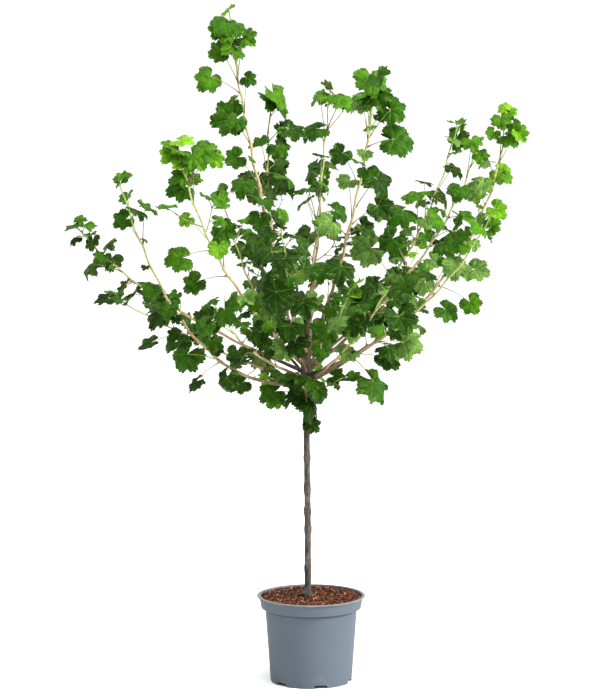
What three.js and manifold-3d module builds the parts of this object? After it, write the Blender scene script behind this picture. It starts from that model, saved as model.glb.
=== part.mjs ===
// A jostaberry bush grown as a half standard in a five-litre nursery pot.
// Millimetres, +Z up. The origin is the middle of the pot's flat underside.
// The bush is a straight stem with a swollen head, from which shoots arch up and outwards.
// Each shoot is a bare woody bough and then a leafy mass, and short leafy spurs hang round
// the head.
import * as THREE from "three";
import { mergeVertices } from "three/addons/utils/BufferGeometryUtils.js";
import Module from "manifold-3d";

const wasm = await Module();
wasm.setup();
const { Manifold } = wasm;

// Pot
const RIM_DIAMETER = 225;
const POT_HEIGHT = 180;
const WALL = 1.8;
const LIP_HEIGHT = 4;
const LIP_WIDTH = 5;
const BAND_HEIGHT = 27;
const BAND_TAPER = 3.5;
const BAND_STEP = 8.5;
const STEP_HEIGHT = 1.5;
const FOOT_DIAMETER = 169;
const BASE_THICKNESS = 2.4;
const CHANNEL_HEIGHT = 7;
const CHANNEL_DRAFT = 3;
const PAD_DIAMETER = 96;
const SKIRT_WIDTH = 12;
const NOTCHES = 6;
const NOTCH_DEGREES = 18;
const NOTCH_HEIGHT = 6.5;
const NOTCH_TURN_DEGREES = 13.5;
const POT_SIDES = 36;

// Soil, topped with bark
const SOIL_TOP = 171;
const SOIL_CROWN = 1.5;
const SOIL_FLAT_DIAMETER = 80;
const SOIL_SIDES = 24;

// Space left between two pieces that touch
const GAP = 0.3;

// The smallest detail that a joined solid keeps, and the narrowest face that it may have
const FINENESS = 0.03;
const NARROWEST_FACE = 0.01;

// Stem: its foot and head, and the swellings where old buds were
const STEM_FOOT = new THREE.Vector3(-7, 0, SOIL_TOP + SOIL_CROWN + GAP);
const STEM_TOP = 684;
const STEM_LEAN = -4;
const STEM_SWAY = 1.6;
const STEM_RADIUS = 6.8;
const STEM_TAPER = 0.08;
const FLARE_RADIUS = 5.2;
const FLARE_HEIGHT = 9;
const HEAD_START = 606;
const HEAD_END = 668;
const HEAD_RADIUS = 11;
const HEAD_TOP_RADIUS = 6.4;
const KNOTS = [238, 318, 356, 402, 468, 541];
const KNOT_RADIUS = 1.1;
const KNOT_LENGTH = 8;
const STEM_SIDES = 10;

// Shoots
const SPANS = 9;
const BOUGH_SIDES = 6;
const TWIG_SIDES = 3;
const TIP_RADIUS = 1.3;
const SHOOT_TAPER = 0.8;

// A shoot's root is a height on the stem. From there it heads for its elbow and bends to its
// tip. bare is the length of its bough, leaf the usual width of its large leaves, and full
// how closely they are set.
const SHOOTS = [
  { name: "leader", root: 684, elbow: [-122, 32, 1009], tip: [-168, 40, 1378], girth: 5.4, bare: 120, leaf: 78, full: 1.15 },
  { name: "back_left_tall", root: 656, elbow: [-114, 195, 895], tip: [-85, 250, 1200], girth: 3.6, bare: 105, leaf: 80, full: 1.15 },
  { name: "back_tall", root: 670, elbow: [9, 221, 913], tip: [41, 290, 1212], girth: 3.4, bare: 110, leaf: 72, full: 1 },
  { name: "front_right_tall", root: 663, elbow: [100, -150, 969], tip: [126, -190, 1258], girth: 4.4, bare: 125, leaf: 80, full: 1.1 },
  { name: "right_far", root: 624, elbow: [371, -94, 825], tip: [388, -110, 1184], girth: 4.4, bare: 135, leaf: 55, full: 1 },
  { name: "right_back", root: 657, elbow: [228, 175, 810], tip: [310, 230, 1146], girth: 3.6, bare: 110, leaf: 61, full: 1 },
  { name: "right_middle", root: 646, elbow: [279, 53, 869], tip: [344, 60, 1112], girth: 4, bare: 110, leaf: 63, full: 1 },
  { name: "right_front", root: 635, elbow: [245, -228, 769], tip: [344, -280, 983], girth: 4, bare: 120, leaf: 68, full: 1.1 },
  { name: "left_front", root: 657, elbow: [-212, -206, 859], tip: [-262, -260, 1126], girth: 4.2, bare: 111, leaf: 76, full: 1.1 },
  { name: "left_middle", root: 624, elbow: [-258, -86, 599], tip: [-383, -150, 1050], girth: 4.2, bare: 125, leaf: 65, full: 1 },
  { name: "left_far", root: 646, elbow: [-381, 125, 783], tip: [-496, 130, 945], girth: 3.8, bare: 125, leaf: 59, full: 1 },
  { name: "left_low", root: 624, elbow: [-206, 194, 659], tip: [-420, 260, 775], girth: 3.8, bare: 115, leaf: 72, full: 1 },
  { name: "front_short", root: 657, elbow: [29, -149, 727], tip: [79, -230, 834], girth: 3.4, bare: 95, leaf: 84, full: 1.2 },
  { name: "back_middle", root: 643, elbow: [10, 230, 800], tip: [25, 370, 1050], girth: 3.4, bare: 105, leaf: 80, full: 1 },
  { name: "front_middle", root: 646, elbow: [-40, -230, 760], tip: [-60, -345, 985], girth: 3.6, bare: 105, leaf: 80, full: 1 },
  { name: "back_left_low", root: 635, elbow: [-120, 210, 740], tip: [-185, 320, 960], girth: 3.4, bare: 108, leaf: 80, full: 1 },
  { name: "front_right_low", root: 624, elbow: [90, -230, 720], tip: [150, -340, 860], girth: 3.4, bare: 105, leaf: 80, full: 1 },
  { name: "front_left_low", root: 635, elbow: [-140, -210, 700], tip: [-190, -330, 820], girth: 3.4, bare: 105, leaf: 80, full: 1 },
  { name: "back_right_low", root: 624, elbow: [150, 230, 710], tip: [235, 335, 880], girth: 3.4, bare: 105, leaf: 78, full: 1 },
];

// Spurs grow straight from the stem, just under its head, and are leafy from the start.
const SPUR = { girth: 2.6, bare: 0, leaf: 78, full: 1.6 };
const SPURS = [
  { ...SPUR, name: "front", root: 603, elbow: [-14, -46, 622], tip: [-22, -74, 632] },
  { ...SPUR, name: "right", root: 598, elbow: [30, -22, 620], tip: [66, -40, 640] },
  { ...SPUR, name: "back", root: 603, elbow: [-6, 46, 622], tip: [4, 76, 634] },
  { ...SPUR, name: "left", root: 598, elbow: [-48, -8, 618], tip: [-84, -14, 636] },
];

// Leaves: widths and spacings in millimetres, angles in degrees
const FIRST_NODE = 14;
const SPACING_SHARE = 0.38;
const SIDE_LEAF_SHARE = 0.5;
const TIP_LEAVES = 5;
const TIP_LEAF_SHARE = 0.68;
const TIP_SPACING = 9;
const TURN = 137.5;
const RETRY_TURN = 43;
const TRIES = 9;
const YAW = 32;
const ROLL = 30;
const LEAN = 26;
const STALK_RISE = 0.18;
const STALK_RADIUS = 1.15;
const STALK_TAPER = 0.62;

// Parts of a blade, as shares of its width
const BLADE_MIDDLE = 0.22;
const BLADE_THICKNESS = 0.03;
const BLADE_CUP = 0.13;
const BLADE_RADIUS = 0.5;

// The width up to which a blade is drawn with no notches between its lobes
const SMALL_LEAF = 52;

// Half of a blade's outline, from its tip round to its stalk: degrees from the midrib, and
// distance from the end of the stalk
const LOBED_OUTLINE = [[0, 0.68], [30, 0.53], [60, 0.62], [120, 0.47]];
const SMALL_OUTLINE = [[0, 0.68], [57, 0.6], [120, 0.45]];

// How far a leaf keeps from limbs and from other leaves
const CLEARANCE = 1.5;
const CLEARANCE_SHARE = 0.065;
const LIMB_SAMPLE = 7;

// How far along its twig a leaf is shifted, one after the other, to find a clean joint
const SHIFTS = [0, 0.5, -0.5, 1, -1, 1.7, -1.7];

const COLOURS = {
  pot: new THREE.MeshStandardMaterial({ color: 0x7d8893, roughness: 0.5, metalness: 0 }),
  soil: new THREE.MeshStandardMaterial({ color: 0x6b3a22, roughness: 0.95, metalness: 0 }),
  bark: new THREE.MeshStandardMaterial({ color: 0x6e5f55, roughness: 0.9, metalness: 0 }),
  bough: new THREE.MeshStandardMaterial({ color: 0x8b7350, roughness: 0.8, metalness: 0 }),
  leaf: new THREE.MeshStandardMaterial({ color: 0x3f7a22, roughness: 0.55, metalness: 0 }),
};

const UP = new THREE.Vector3(0, 0, 1);
const { degToRad, lerp, smoothstep } = THREE.MathUtils;

// Geometries become solids to be joined and cut, and solids become the meshes of the bush.

function solidOf(geometry) {
  const bare = geometry.clone();
  bare.deleteAttribute("normal");
  bare.deleteAttribute("uv");
  const merged = mergeVertices(bare, 1e-4);
  return new Manifold(new wasm.Mesh({
    numProp: 3,
    vertProperties: merged.attributes.position.array,
    triVerts: new Uint32Array(merged.index.array),
  }));
}

function meshOf(name, solid, material) {
  const { vertProperties, triVerts } = solid.getMesh();
  const geometry = new THREE.BufferGeometry();
  geometry.setAttribute("position", new THREE.BufferAttribute(vertProperties, 3));
  geometry.setIndex(new THREE.BufferAttribute(triVerts, 1));
  geometry.computeVertexNormals();
  const mesh = new THREE.Mesh(geometry, material);
  mesh.name = name;
  return mesh;
}

function facetedGeometry(points, faces) {
  const geometry = new THREE.BufferGeometry().setFromPoints(points);
  geometry.setIndex(faces.flat());
  return geometry;
}

// The largest body of a joined or cut solid, with its fine faces merged into their neighbours
function tidied(solid) {
  const body = solid.decompose().sort((a, b) => b.volume() - a.volume())[0];
  return body.asOriginal().simplify(FINENESS);
}

function narrowestFace(solid) {
  const { vertProperties, triVerts } = solid.getMesh();
  const corner = (i) => new THREE.Vector3().fromArray(vertProperties, 3 * triVerts[i]);
  let narrowest = Infinity;
  for (let i = 0; i < triVerts.length; i += 3) {
    const face = new THREE.Triangle(corner(i), corner(i + 1), corner(i + 2));
    const longest = Math.max(
      face.a.distanceTo(face.b),
      face.b.distanceTo(face.c),
      face.c.distanceTo(face.a),
    );
    narrowest = Math.min(narrowest, (2 * face.getArea()) / longest);
  }
  return narrowest;
}

// A closed tapering tube with flat sides, round a line of centres. Each of its sections has
// the area of the round one that it stands for.
function tubeGeometry(centres, radii, sides) {
  const widening = Math.sqrt((2 * Math.PI) / (sides * Math.sin((2 * Math.PI) / sides)));
  const points = [];
  const faces = [];
  let across = new THREE.Vector3(0.1, 1, 0.3);
  centres.forEach((centre, i) => {
    const before = centres[Math.max(i - 1, 0)];
    const after = centres[Math.min(i + 1, centres.length - 1)];
    const along = after.clone().sub(before).normalize();
    across = across.clone().addScaledVector(along, -across.dot(along)).normalize();
    const third = along.clone().cross(across);
    for (let k = 0; k < sides; k += 1) {
      const angle = (2 * Math.PI * k) / sides;
      const point = centre.clone();
      point.addScaledVector(across, widening * radii[i] * Math.cos(angle));
      point.addScaledVector(third, widening * radii[i] * Math.sin(angle));
      points.push(point);
    }
  });
  for (let i = 0; i + 1 < centres.length; i += 1) {
    for (let k = 0; k < sides; k += 1) {
      const a = i * sides + k;
      const b = i * sides + ((k + 1) % sides);
      faces.push([a, b, b + sides], [a, b + sides, a + sides]);
    }
  }
  const last = (centres.length - 1) * sides;
  for (let k = 1; k + 1 < sides; k += 1) {
    faces.push([0, k + 1, k], [last, last + k, last + k + 1]);
  }
  return facetedGeometry(points, faces);
}

function turnedGeometry(profile, sides) {
  const geometry = new THREE.LatheGeometry(profile.map(([r, z]) => new THREE.Vector2(r, z)), sides);
  return geometry.rotateX(Math.PI / 2);
}

// Pot: a thin moulded wall with a stepped band at its rim. It stands on a round pad and on an
// outer skirt, and notches in the skirt drain the raised channel between them.

const BAND_BOTTOM = POT_HEIGHT - BAND_HEIGHT;
const LEDGE_TOP = BAND_BOTTOM + STEP_HEIGHT + WALL;
const FLOOR = CHANNEL_HEIGHT + BASE_THICKNESS;

// The radii of the pot's outside, or of the same surface further in
function wallRadii(inset) {
  const bandTop = RIM_DIAMETER / 2 - LIP_WIDTH - inset;
  const bandFoot = bandTop - BAND_TAPER;
  return { bandTop, bandFoot, bodyTop: bandFoot - BAND_STEP, foot: FOOT_DIAMETER / 2 - inset };
}

function bodyRadius({ foot, bodyTop }, z) {
  return lerp(foot, bodyTop, z / BAND_BOTTOM);
}

function makePot() {
  const rim = RIM_DIAMETER / 2;
  const outer = wallRadii(0);
  const inner = wallRadii(WALL);
  const pad = PAD_DIAMETER / 2;
  const skirt = outer.foot - SKIRT_WIDTH;
  const profile = [
    [0, 0], [pad, 0], [pad + CHANNEL_DRAFT, CHANNEL_HEIGHT], [skirt - CHANNEL_DRAFT, CHANNEL_HEIGHT],
    [skirt, 0], [outer.foot, 0], [outer.bodyTop, BAND_BOTTOM], [outer.bandFoot, BAND_BOTTOM + STEP_HEIGHT],
    [outer.bandTop, POT_HEIGHT - LIP_HEIGHT], [rim, POT_HEIGHT - LIP_HEIGHT + STEP_HEIGHT],
    [rim, POT_HEIGHT], [inner.bandTop, POT_HEIGHT], [inner.bandFoot, LEDGE_TOP],
    [inner.bodyTop, BAND_BOTTOM], [bodyRadius(inner, FLOOR), FLOOR], [0, FLOOR],
  ];
  let pot = solidOf(turnedGeometry(profile, POT_SIDES));
  const notchWidth = 2 * outer.foot * Math.sin(degToRad(NOTCH_DEGREES / 2));
  for (let i = 0; i < NOTCHES; i += 1) {
    const notch = new THREE.BoxGeometry(notchWidth, 2 * SKIRT_WIDTH, 2 * NOTCH_HEIGHT);
    notch.translate(0, -outer.foot, 0);
    notch.rotateZ(degToRad(NOTCH_TURN_DEGREES) + (2 * Math.PI * i) / NOTCHES);
    pot = pot.subtract(solidOf(notch));
  }
  return pot;
}

// Soil: fills the pot to just under its rim, and is level where the stem stands.
function makeSoil() {
  const side = wallRadii(WALL + 3 * GAP);
  const floor = FLOOR + GAP;
  const bandShare = (SOIL_TOP - LEDGE_TOP) / (POT_HEIGHT - LEDGE_TOP);
  const profile = [
    [0, floor], [bodyRadius(side, floor), floor], [side.bodyTop, BAND_BOTTOM],
    [side.bandFoot, LEDGE_TOP + WALL],
    [lerp(side.bandFoot, side.bandTop, bandShare), SOIL_TOP],
    [SOIL_FLAT_DIAMETER / 2, SOIL_TOP + SOIL_CROWN], [0, SOIL_TOP + SOIL_CROWN],
  ];
  return solidOf(turnedGeometry(profile, SOIL_SIDES));
}

// Stem: slightly bowed and tapered, flared at its foot, and swollen at its head.

function stemCentre(z) {
  const share = (z - STEM_FOOT.z) / (STEM_TOP - STEM_FOOT.z);
  const sway = STEM_SWAY * Math.sin(1.3 * Math.PI * share) * (1 - share);
  return new THREE.Vector3(STEM_FOOT.x + STEM_LEAN * share + sway, STEM_FOOT.y, z);
}

function stemRadius(z) {
  const height = z - STEM_FOOT.z;
  let radius = STEM_RADIUS * (1 - (STEM_TAPER * height) / (STEM_TOP - STEM_FOOT.z));
  radius += FLARE_RADIUS * Math.exp(-height / FLARE_HEIGHT);
  for (const knot of KNOTS) radius += KNOT_RADIUS * Math.exp(-(((z - knot) / KNOT_LENGTH) ** 2));
  const swollen = smoothstep(z, HEAD_START, HEAD_START + 2 * HEAD_RADIUS);
  const closed = smoothstep(z, HEAD_END - HEAD_RADIUS, STEM_TOP);
  return lerp(lerp(radius, HEAD_RADIUS, swollen), HEAD_TOP_RADIUS, closed);
}

function makeStem(extra) {
  const heights = [0, 0.5, 1.2, 2.5].map((share) => STEM_FOOT.z + share * FLARE_HEIGHT);
  for (const knot of KNOTS) heights.push(knot - 1.5 * KNOT_LENGTH, knot, knot + 1.5 * KNOT_LENGTH);
  for (let i = 0; i <= 4; i += 1) heights.push(lerp(HEAD_START, HEAD_START + 2 * HEAD_RADIUS, i / 4));
  for (let i = 0; i <= 3; i += 1) heights.push(lerp(HEAD_END - HEAD_RADIUS, STEM_TOP, i / 3));
  const centres = heights.map(stemCentre);
  centres[centres.length - 1].z += extra;
  return solidOf(tubeGeometry(centres, heights.map((z) => stemRadius(z) + extra), STEM_SIDES));
}

// Shoots: each is a line of a few straight spans, and everything on it lies true to them.

function shootLine(shoot) {
  const curve = new THREE.QuadraticBezierCurve3(
    stemCentre(shoot.root),
    new THREE.Vector3(...shoot.elbow),
    new THREE.Vector3(...shoot.tip),
  );
  const points = curve.getPoints(SPANS);
  const reached = [0];
  for (let i = 1; i <= SPANS; i += 1) {
    reached.push(reached[i - 1] + points[i].distanceTo(points[i - 1]));
  }
  return { points, reached, length: reached[SPANS], girth: shoot.girth };
}

function onLine(line, distance) {
  let i = 1;
  while (i < SPANS && line.reached[i] < distance) i += 1;
  const share = (distance - line.reached[i - 1]) / (line.reached[i] - line.reached[i - 1]);
  return {
    point: line.points[i - 1].clone().lerp(line.points[i], share),
    along: line.points[i].clone().sub(line.points[i - 1]).normalize(),
  };
}

function lineRadius(line, distance) {
  return lerp(line.girth, TIP_RADIUS, (distance / line.length) ** SHOOT_TAPER);
}

function makeLimb(line, from, to, sides) {
  const between = line.reached.filter((distance) => distance > from && distance < to);
  const distances = [from, ...between, to];
  const centres = distances.map((distance) => onLine(line, distance).point);
  const radii = distances.map((distance) => lineRadius(line, distance));
  return solidOf(tubeGeometry(centres, radii, sides));
}

// Random numbers that are the same each time
function randomFrom(seed) {
  let state = seed;
  const draw = () => {
    state = (Math.imul(state, 1664525) + 1013904223) >>> 0;
    return state / 2 ** 32;
  };
  for (let i = 0; i < 5; i += 1) draw();
  return draw;
}

// Leaves: a leaf's stalk runs from root to base. Its blade points forward from there, faces
// normal, and keeps a flat round space of its own about its middle.

function shapeLeaf(wish, spin, reach, droop, yaw, roll) {
  const side = new THREE.Vector3(0.31, -0.87, 0.38).cross(wish.along).normalize();
  const third = wish.along.clone().cross(side);
  const out = side.multiplyScalar(Math.cos(spin)).addScaledVector(third, Math.sin(spin));
  const away = out.clone().multiplyScalar(Math.sin(reach));
  away.addScaledVector(wish.along, Math.cos(reach)).addScaledVector(UP, STALK_RISE).normalize();
  const base = wish.root.clone().addScaledVector(away, wish.stalk);
  const level = Math.hypot(away.x, away.y) > 0.2 ? away : out;
  const forward = new THREE.Vector3(level.x, level.y, 0).normalize().applyAxisAngle(UP, yaw);
  forward.multiplyScalar(Math.cos(droop)).addScaledVector(UP, -Math.sin(droop));
  const normal = UP.clone().addScaledVector(forward, -forward.z).normalize();
  normal.applyAxisAngle(forward, roll - degToRad(LEAN) * forward.clone().cross(normal).y);
  const middle = base.clone().addScaledVector(forward, wish.width * BLADE_MIDDLE);
  middle.addScaledVector(normal, -0.4 * wish.width * BLADE_CUP);
  const stalkPoints = [0.3, 0.5, 0.7, 0.9].map((share) => wish.root.clone().lerp(base, share));
  return { ...wish, base, forward, normal, middle, stalkPoints, radius: wish.width * BLADE_RADIUS };
}

function nearBlade(point, radius, leaf) {
  const offset = point.clone().sub(leaf.middle);
  const above = offset.dot(leaf.normal);
  if (Math.abs(above) > CLEARANCE + CLEARANCE_SHARE * leaf.width + radius) return false;
  return offset.addScaledVector(leaf.normal, -above).length() < leaf.radius + radius + 1;
}

// Two blades cross where their planes meet, if both reach the same stretch of that line.
function bladesMeet(a, b) {
  const offset = b.middle.clone().sub(a.middle);
  if (offset.length() > a.radius + b.radius + CLEARANCE) return false;
  const margin = CLEARANCE + CLEARANCE_SHARE * Math.max(a.width, b.width);
  const line = a.normal.clone().cross(b.normal);
  const slant = line.length();
  if (slant < 0.25) return Math.abs(offset.dot(a.normal)) < margin;
  line.divideScalar(slant);
  const inward = line.clone().cross(a.normal);
  const awayA = offset.dot(b.normal) / inward.dot(b.normal);
  const fromB = a.middle.clone().addScaledVector(inward, awayA).sub(b.middle);
  const alongB = fromB.dot(line);
  const awayB = fromB.addScaledVector(line, -alongB).length();
  const reachA = a.radius + margin / 2;
  const reachB = b.radius + margin / 2;
  if (Math.abs(awayA) > reachA || awayB > reachB) return false;
  return Math.abs(alongB) < Math.sqrt(reachA ** 2 - awayA ** 2) + Math.sqrt(reachB ** 2 - awayB ** 2);
}

function hasRoom(leaf, leaves, limbs) {
  for (const limb of limbs) {
    if (nearBlade(limb.point, limb.radius, leaf)) return false;
    if (limb.shoot === leaf.shoot) continue;
    const away = limb.radius + 2 * CLEARANCE;
    if (leaf.stalkPoints.some((point) => point.distanceTo(limb.point) < away)) return false;
  }
  return leaves.every((other) => !bladesMeet(leaf, other)
    && !leaf.stalkPoints.some((point) => nearBlade(point, STALK_RADIUS, other))
    && !other.stalkPoints.some((point) => nearBlade(point, STALK_RADIUS, leaf)));
}

// A leaf turns a little further round its twig at each try, and is left out if none has room.
function tryLeaf(wish, leaves, limbs, random) {
  for (let i = 0; i < TRIES; i += 1) {
    const reach = degToRad(lerp(...wish.reach, random()));
    const droop = degToRad(lerp(...wish.droop, random()));
    const yaw = degToRad(lerp(-YAW, YAW, random()));
    const roll = degToRad(lerp(-ROLL, ROLL, random()));
    const leaf = shapeLeaf(wish, wish.spin + i * degToRad(RETRY_TURN), reach, droop, yaw, roll);
    if (hasRoom(leaf, leaves, limbs)) {
      leaves.push(leaf);
      return;
    }
  }
}

// Dresses one shoot from the end of its bough to its tip: a long-stalked leaf at each node,
// often with a small one beside it or a second large one low down, and a tuft at the tip.
function dressShoot(growth, shoot, leaves, limbs) {
  const random = randomFrom(shoot + 11);
  const line = shootLine(growth);
  const leafy = line.length - growth.bare;
  let spin = 2 * Math.PI * random();
  let travelled = FIRST_NODE;
  while (travelled < leafy - TIP_LEAVES * TIP_SPACING) {
    const share = travelled / leafy;
    const { point: root, along } = onLine(line, growth.bare + travelled);
    const width = growth.leaf * lerp(1.06, 0.94, share) * lerp(0.76, 1.14, random());
    const stalk = width * lerp(0.45, 0.72, random());
    const main = { shoot, root, along, spin, reach: [48, 72], droop: [26, 84], stalk, width };
    tryLeaf(main, leaves, limbs, random);
    if (random() < growth.full * 0.3) {
      const small = { ...main, spin: spin + 1.1, reach: [30, 62], droop: [-20, 60] };
      small.width = growth.leaf * SIDE_LEAF_SHARE * lerp(0.75, 1.3, random());
      small.stalk = 0.6 * small.width;
      tryLeaf(small, leaves, limbs, random);
    }
    if (random() < growth.full * 0.2) {
      const second = { ...main, spin: spin + 2.6, reach: [50, 78], droop: [20, 80] };
      second.width = width * lerp(0.65, 0.95, random());
      second.stalk = 0.7 * second.width;
      tryLeaf(second, leaves, limbs, random);
    }
    spin += degToRad(TURN + lerp(-22, 22, random()));
    travelled += (growth.leaf * SPACING_SHARE * lerp(0.75, 1.25, random())) / growth.full;
  }
  for (let i = 0; i < TIP_LEAVES; i += 1) {
    const near = i / (TIP_LEAVES - 1);
    const { point: root, along } = onLine(line, line.length - (TIP_LEAVES - 0.9 - i) * TIP_SPACING);
    const width = growth.leaf * TIP_LEAF_SHARE * lerp(1.2, 0.72, near) * lerp(0.85, 1.15, random());
    const tip = { shoot, root, along, spin, stalk: width * lerp(0.5, 0.3, near), width };
    tip.reach = [lerp(60, 15, near), lerp(80, 32, near)];
    tip.droop = [lerp(30, -55, near), lerp(80, -10, near)];
    tryLeaf(tip, leaves, limbs, random);
    spin += degToRad(TURN);
  }
}

// A leaf in one piece: a blade that is thickest in its middle and cupped downwards, on a
// stalk with three sides that starts inside the twig.
function leafGeometry(leaf) {
  const right = leaf.forward.clone().cross(leaf.normal);
  const onBlade = (u, v, lift) => {
    const sag = (BLADE_CUP * (u ** 2 + (v - BLADE_MIDDLE) ** 2)) / BLADE_RADIUS ** 2;
    const point = leaf.base.clone().addScaledVector(right, u * leaf.width);
    point.addScaledVector(leaf.forward, v * leaf.width);
    return point.addScaledVector(leaf.normal, (lift - sag) * leaf.width);
  };
  const half = leaf.width > SMALL_LEAF ? LOBED_OUTLINE : SMALL_OUTLINE;
  const outline = [...half, ...half.slice(1).reverse().map(([turn, reach]) => [-turn, reach])];
  const points = outline.map(([turn, reach]) => {
    const angle = degToRad(turn);
    return onBlade(reach * Math.sin(angle), reach * Math.cos(angle), 0);
  });
  const halfStalk = STALK_RADIUS / leaf.width;
  const rightEnd = half.length;
  const leftEnd = rightEnd + 1;
  points.splice(rightEnd, 0, onBlade(halfStalk, 0, 0), onBlade(-halfStalk, 0, 0));
  const top = points.length;
  const under = top + 1;
  const keel = top + 2;
  points.push(onBlade(0, BLADE_MIDDLE, BLADE_THICKNESS / 2));
  points.push(onBlade(0, BLADE_MIDDLE, -BLADE_THICKNESS / 2));
  points.push(onBlade(0, 0, -1.5 * halfStalk));
  const faces = [[under, rightEnd, keel], [under, keel, leftEnd]];
  for (let i = 0; i < top; i += 1) {
    const next = (i + 1) % top;
    faces.push([top, next, i]);
    if (i !== rightEnd) faces.push([under, i, next]);
  }
  const ring = [rightEnd, leftEnd, keel];
  const centre = new THREE.Vector3();
  for (const corner of ring) centre.addScaledVector(points[corner], 1 / 3);
  const end = points.length;
  for (const corner of ring) {
    points.push(points[corner].clone().sub(centre).multiplyScalar(STALK_TAPER).add(leaf.root));
  }
  for (let k = 0; k < 3; k += 1) {
    const next = (k + 1) % 3;
    faces.push([ring[k], ring[next], end + next], [ring[k], end + next, end + k]);
  }
  faces.push([end, end + 1, end + 2]);
  return facetedGeometry(points, faces);
}

// Joins a leaf to its mass. It is left out where it would come too close to another piece, or
// would have hair-thin faces at its joint.
function joinLeaf(mass, leaf, neighbours) {
  const solid = solidOf(leafGeometry(leaf));
  for (const shift of SHIFTS) {
    const shifted = solid.translate(leaf.along.clone().multiplyScalar(shift).toArray());
    const joined = tidied(shifted.add(mass));
    const clear = neighbours.every((other) => shifted.minGap(other, 2 * GAP) > GAP);
    if (clear && narrowestFace(joined) > NARROWEST_FACE) return joined;
  }
  return mass;
}

// The bush, from the ground up

const bush = new THREE.Group();
const stem = makeStem(0);
const stemSpace = makeStem(GAP);
bush.add(meshOf("pot", makePot(), COLOURS.pot));
bush.add(meshOf("soil", makeSoil(), COLOURS.soil));
bush.add(meshOf("stem", stem, COLOURS.bark));

const growths = [...SHOOTS, ...SPURS];
const lines = growths.map(shootLine);
const limbs = [];
for (let z = STEM_FOOT.z; z <= STEM_TOP; z += LIMB_SAMPLE) {
  limbs.push({ point: stemCentre(z), radius: stemRadius(z), shoot: -1 });
}
lines.forEach((line, shoot) => {
  for (let distance = 0; distance <= line.length; distance += LIMB_SAMPLE) {
    limbs.push({ point: onLine(line, distance).point, radius: lineRadius(line, distance), shoot });
  }
});
const leaves = [];
growths.forEach((growth, shoot) => dressShoot(growth, shoot, leaves, limbs));

const placed = [stem];
SHOOTS.forEach((shoot, i) => {
  const bough = tidied(makeLimb(lines[i], 0, shoot.bare, BOUGH_SIDES).subtract(stemSpace));
  bush.add(meshOf(`bough_${shoot.name}`, bough, COLOURS.bough));
  placed.push(bough);
});
const twigs = growths.map((growth, i) => {
  const start = growth.bare > 0 ? growth.bare + GAP : 0;
  return tidied(makeLimb(lines[i], start, lines[i].length, TWIG_SIDES).subtract(stemSpace));
});
growths.forEach((growth, i) => {
  const neighbours = [...placed, ...twigs.slice(i + 1)];
  let mass = twigs[i];
  for (const leaf of leaves.filter(({ shoot }) => shoot === i)) mass = joinLeaf(mass, leaf, neighbours);
  const kind = growth.bare > 0 ? "leaves" : "spur";
  bush.add(meshOf(`${kind}_${growth.name}`, mass, COLOURS.leaf));
  placed.push(mass);
});

export default bush;
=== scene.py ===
"""A potted jostaberry bush: a half standard in a five-litre nursery pot, dressed round its
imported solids. Metres, +Z up. The origin is the middle of the pot's flat underside."""

import math
from collections import namedtuple

import bmesh
import bpy
import numpy as np
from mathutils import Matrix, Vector, noise


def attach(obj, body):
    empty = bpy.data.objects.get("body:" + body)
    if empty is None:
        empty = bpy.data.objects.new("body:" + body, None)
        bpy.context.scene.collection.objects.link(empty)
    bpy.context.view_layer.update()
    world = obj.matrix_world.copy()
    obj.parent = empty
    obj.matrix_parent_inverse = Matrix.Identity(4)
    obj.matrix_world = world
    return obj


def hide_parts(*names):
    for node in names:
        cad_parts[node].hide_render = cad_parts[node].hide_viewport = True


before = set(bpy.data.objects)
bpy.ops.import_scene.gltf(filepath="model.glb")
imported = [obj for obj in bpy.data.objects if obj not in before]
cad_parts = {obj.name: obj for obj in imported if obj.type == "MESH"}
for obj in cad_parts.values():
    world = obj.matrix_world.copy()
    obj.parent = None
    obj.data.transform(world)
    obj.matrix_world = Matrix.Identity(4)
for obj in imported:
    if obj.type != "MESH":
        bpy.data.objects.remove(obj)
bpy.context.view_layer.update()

# Studio
# A wide pale floor and a white sky light the bush softly. Above its pale horizon the sky is
# brightest overhead, and dim in front and on the left. A large lamp on the right gives shape.

CAMERA_PLACE = (-0.0232, -5.5, 1.33)
CAMERA_DOWN = 6.613
LENS = 138.39
SENSOR = 36
SKY_OVERHEAD = 1.3
SKY_BEHIND = 1.03
SKY_RIGHT = 0.6
SKY_LEFT = 0.12
FLOOR_REACH = 150
FLOOR_COLOUR = (0.97, 0.97, 0.965, 1)
FLOOR_ROUGHNESS = 0.9
FLOOR_SHINE = 0.1
LAMPS = [
    ("key", (4.9, -1.9, 3.1), 1.8, 560),
    ("top", (-0.4, -1.4, 5.2), 2.0, 190),
]
LAMP_AIM = Vector((0, 0, 0.8))


def aimed_lamp(name, place, size, power):
    lamp = bpy.data.lights.new(name, "AREA")
    lamp.shape = "DISK"
    lamp.size = size
    lamp.energy = power
    holder = bpy.data.objects.new(name, lamp)
    holder.location = place
    holder.rotation_euler = (LAMP_AIM - Vector(place)).to_track_quat("-Z", "Y").to_euler()
    bpy.context.scene.collection.objects.link(holder)


for lamp in LAMPS:
    aimed_lamp(*lamp)

sky = bpy.data.worlds.new("sky")
sky.use_nodes = True
sky_nodes = sky.node_tree.nodes
sky_links = sky.node_tree.links
all_ways = sky_nodes.new("ShaderNodeTexCoord")
direction = sky_nodes.new("ShaderNodeSeparateXYZ")
sky_links.new(all_ways.outputs["Generated"], direction.inputs[0])


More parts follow.
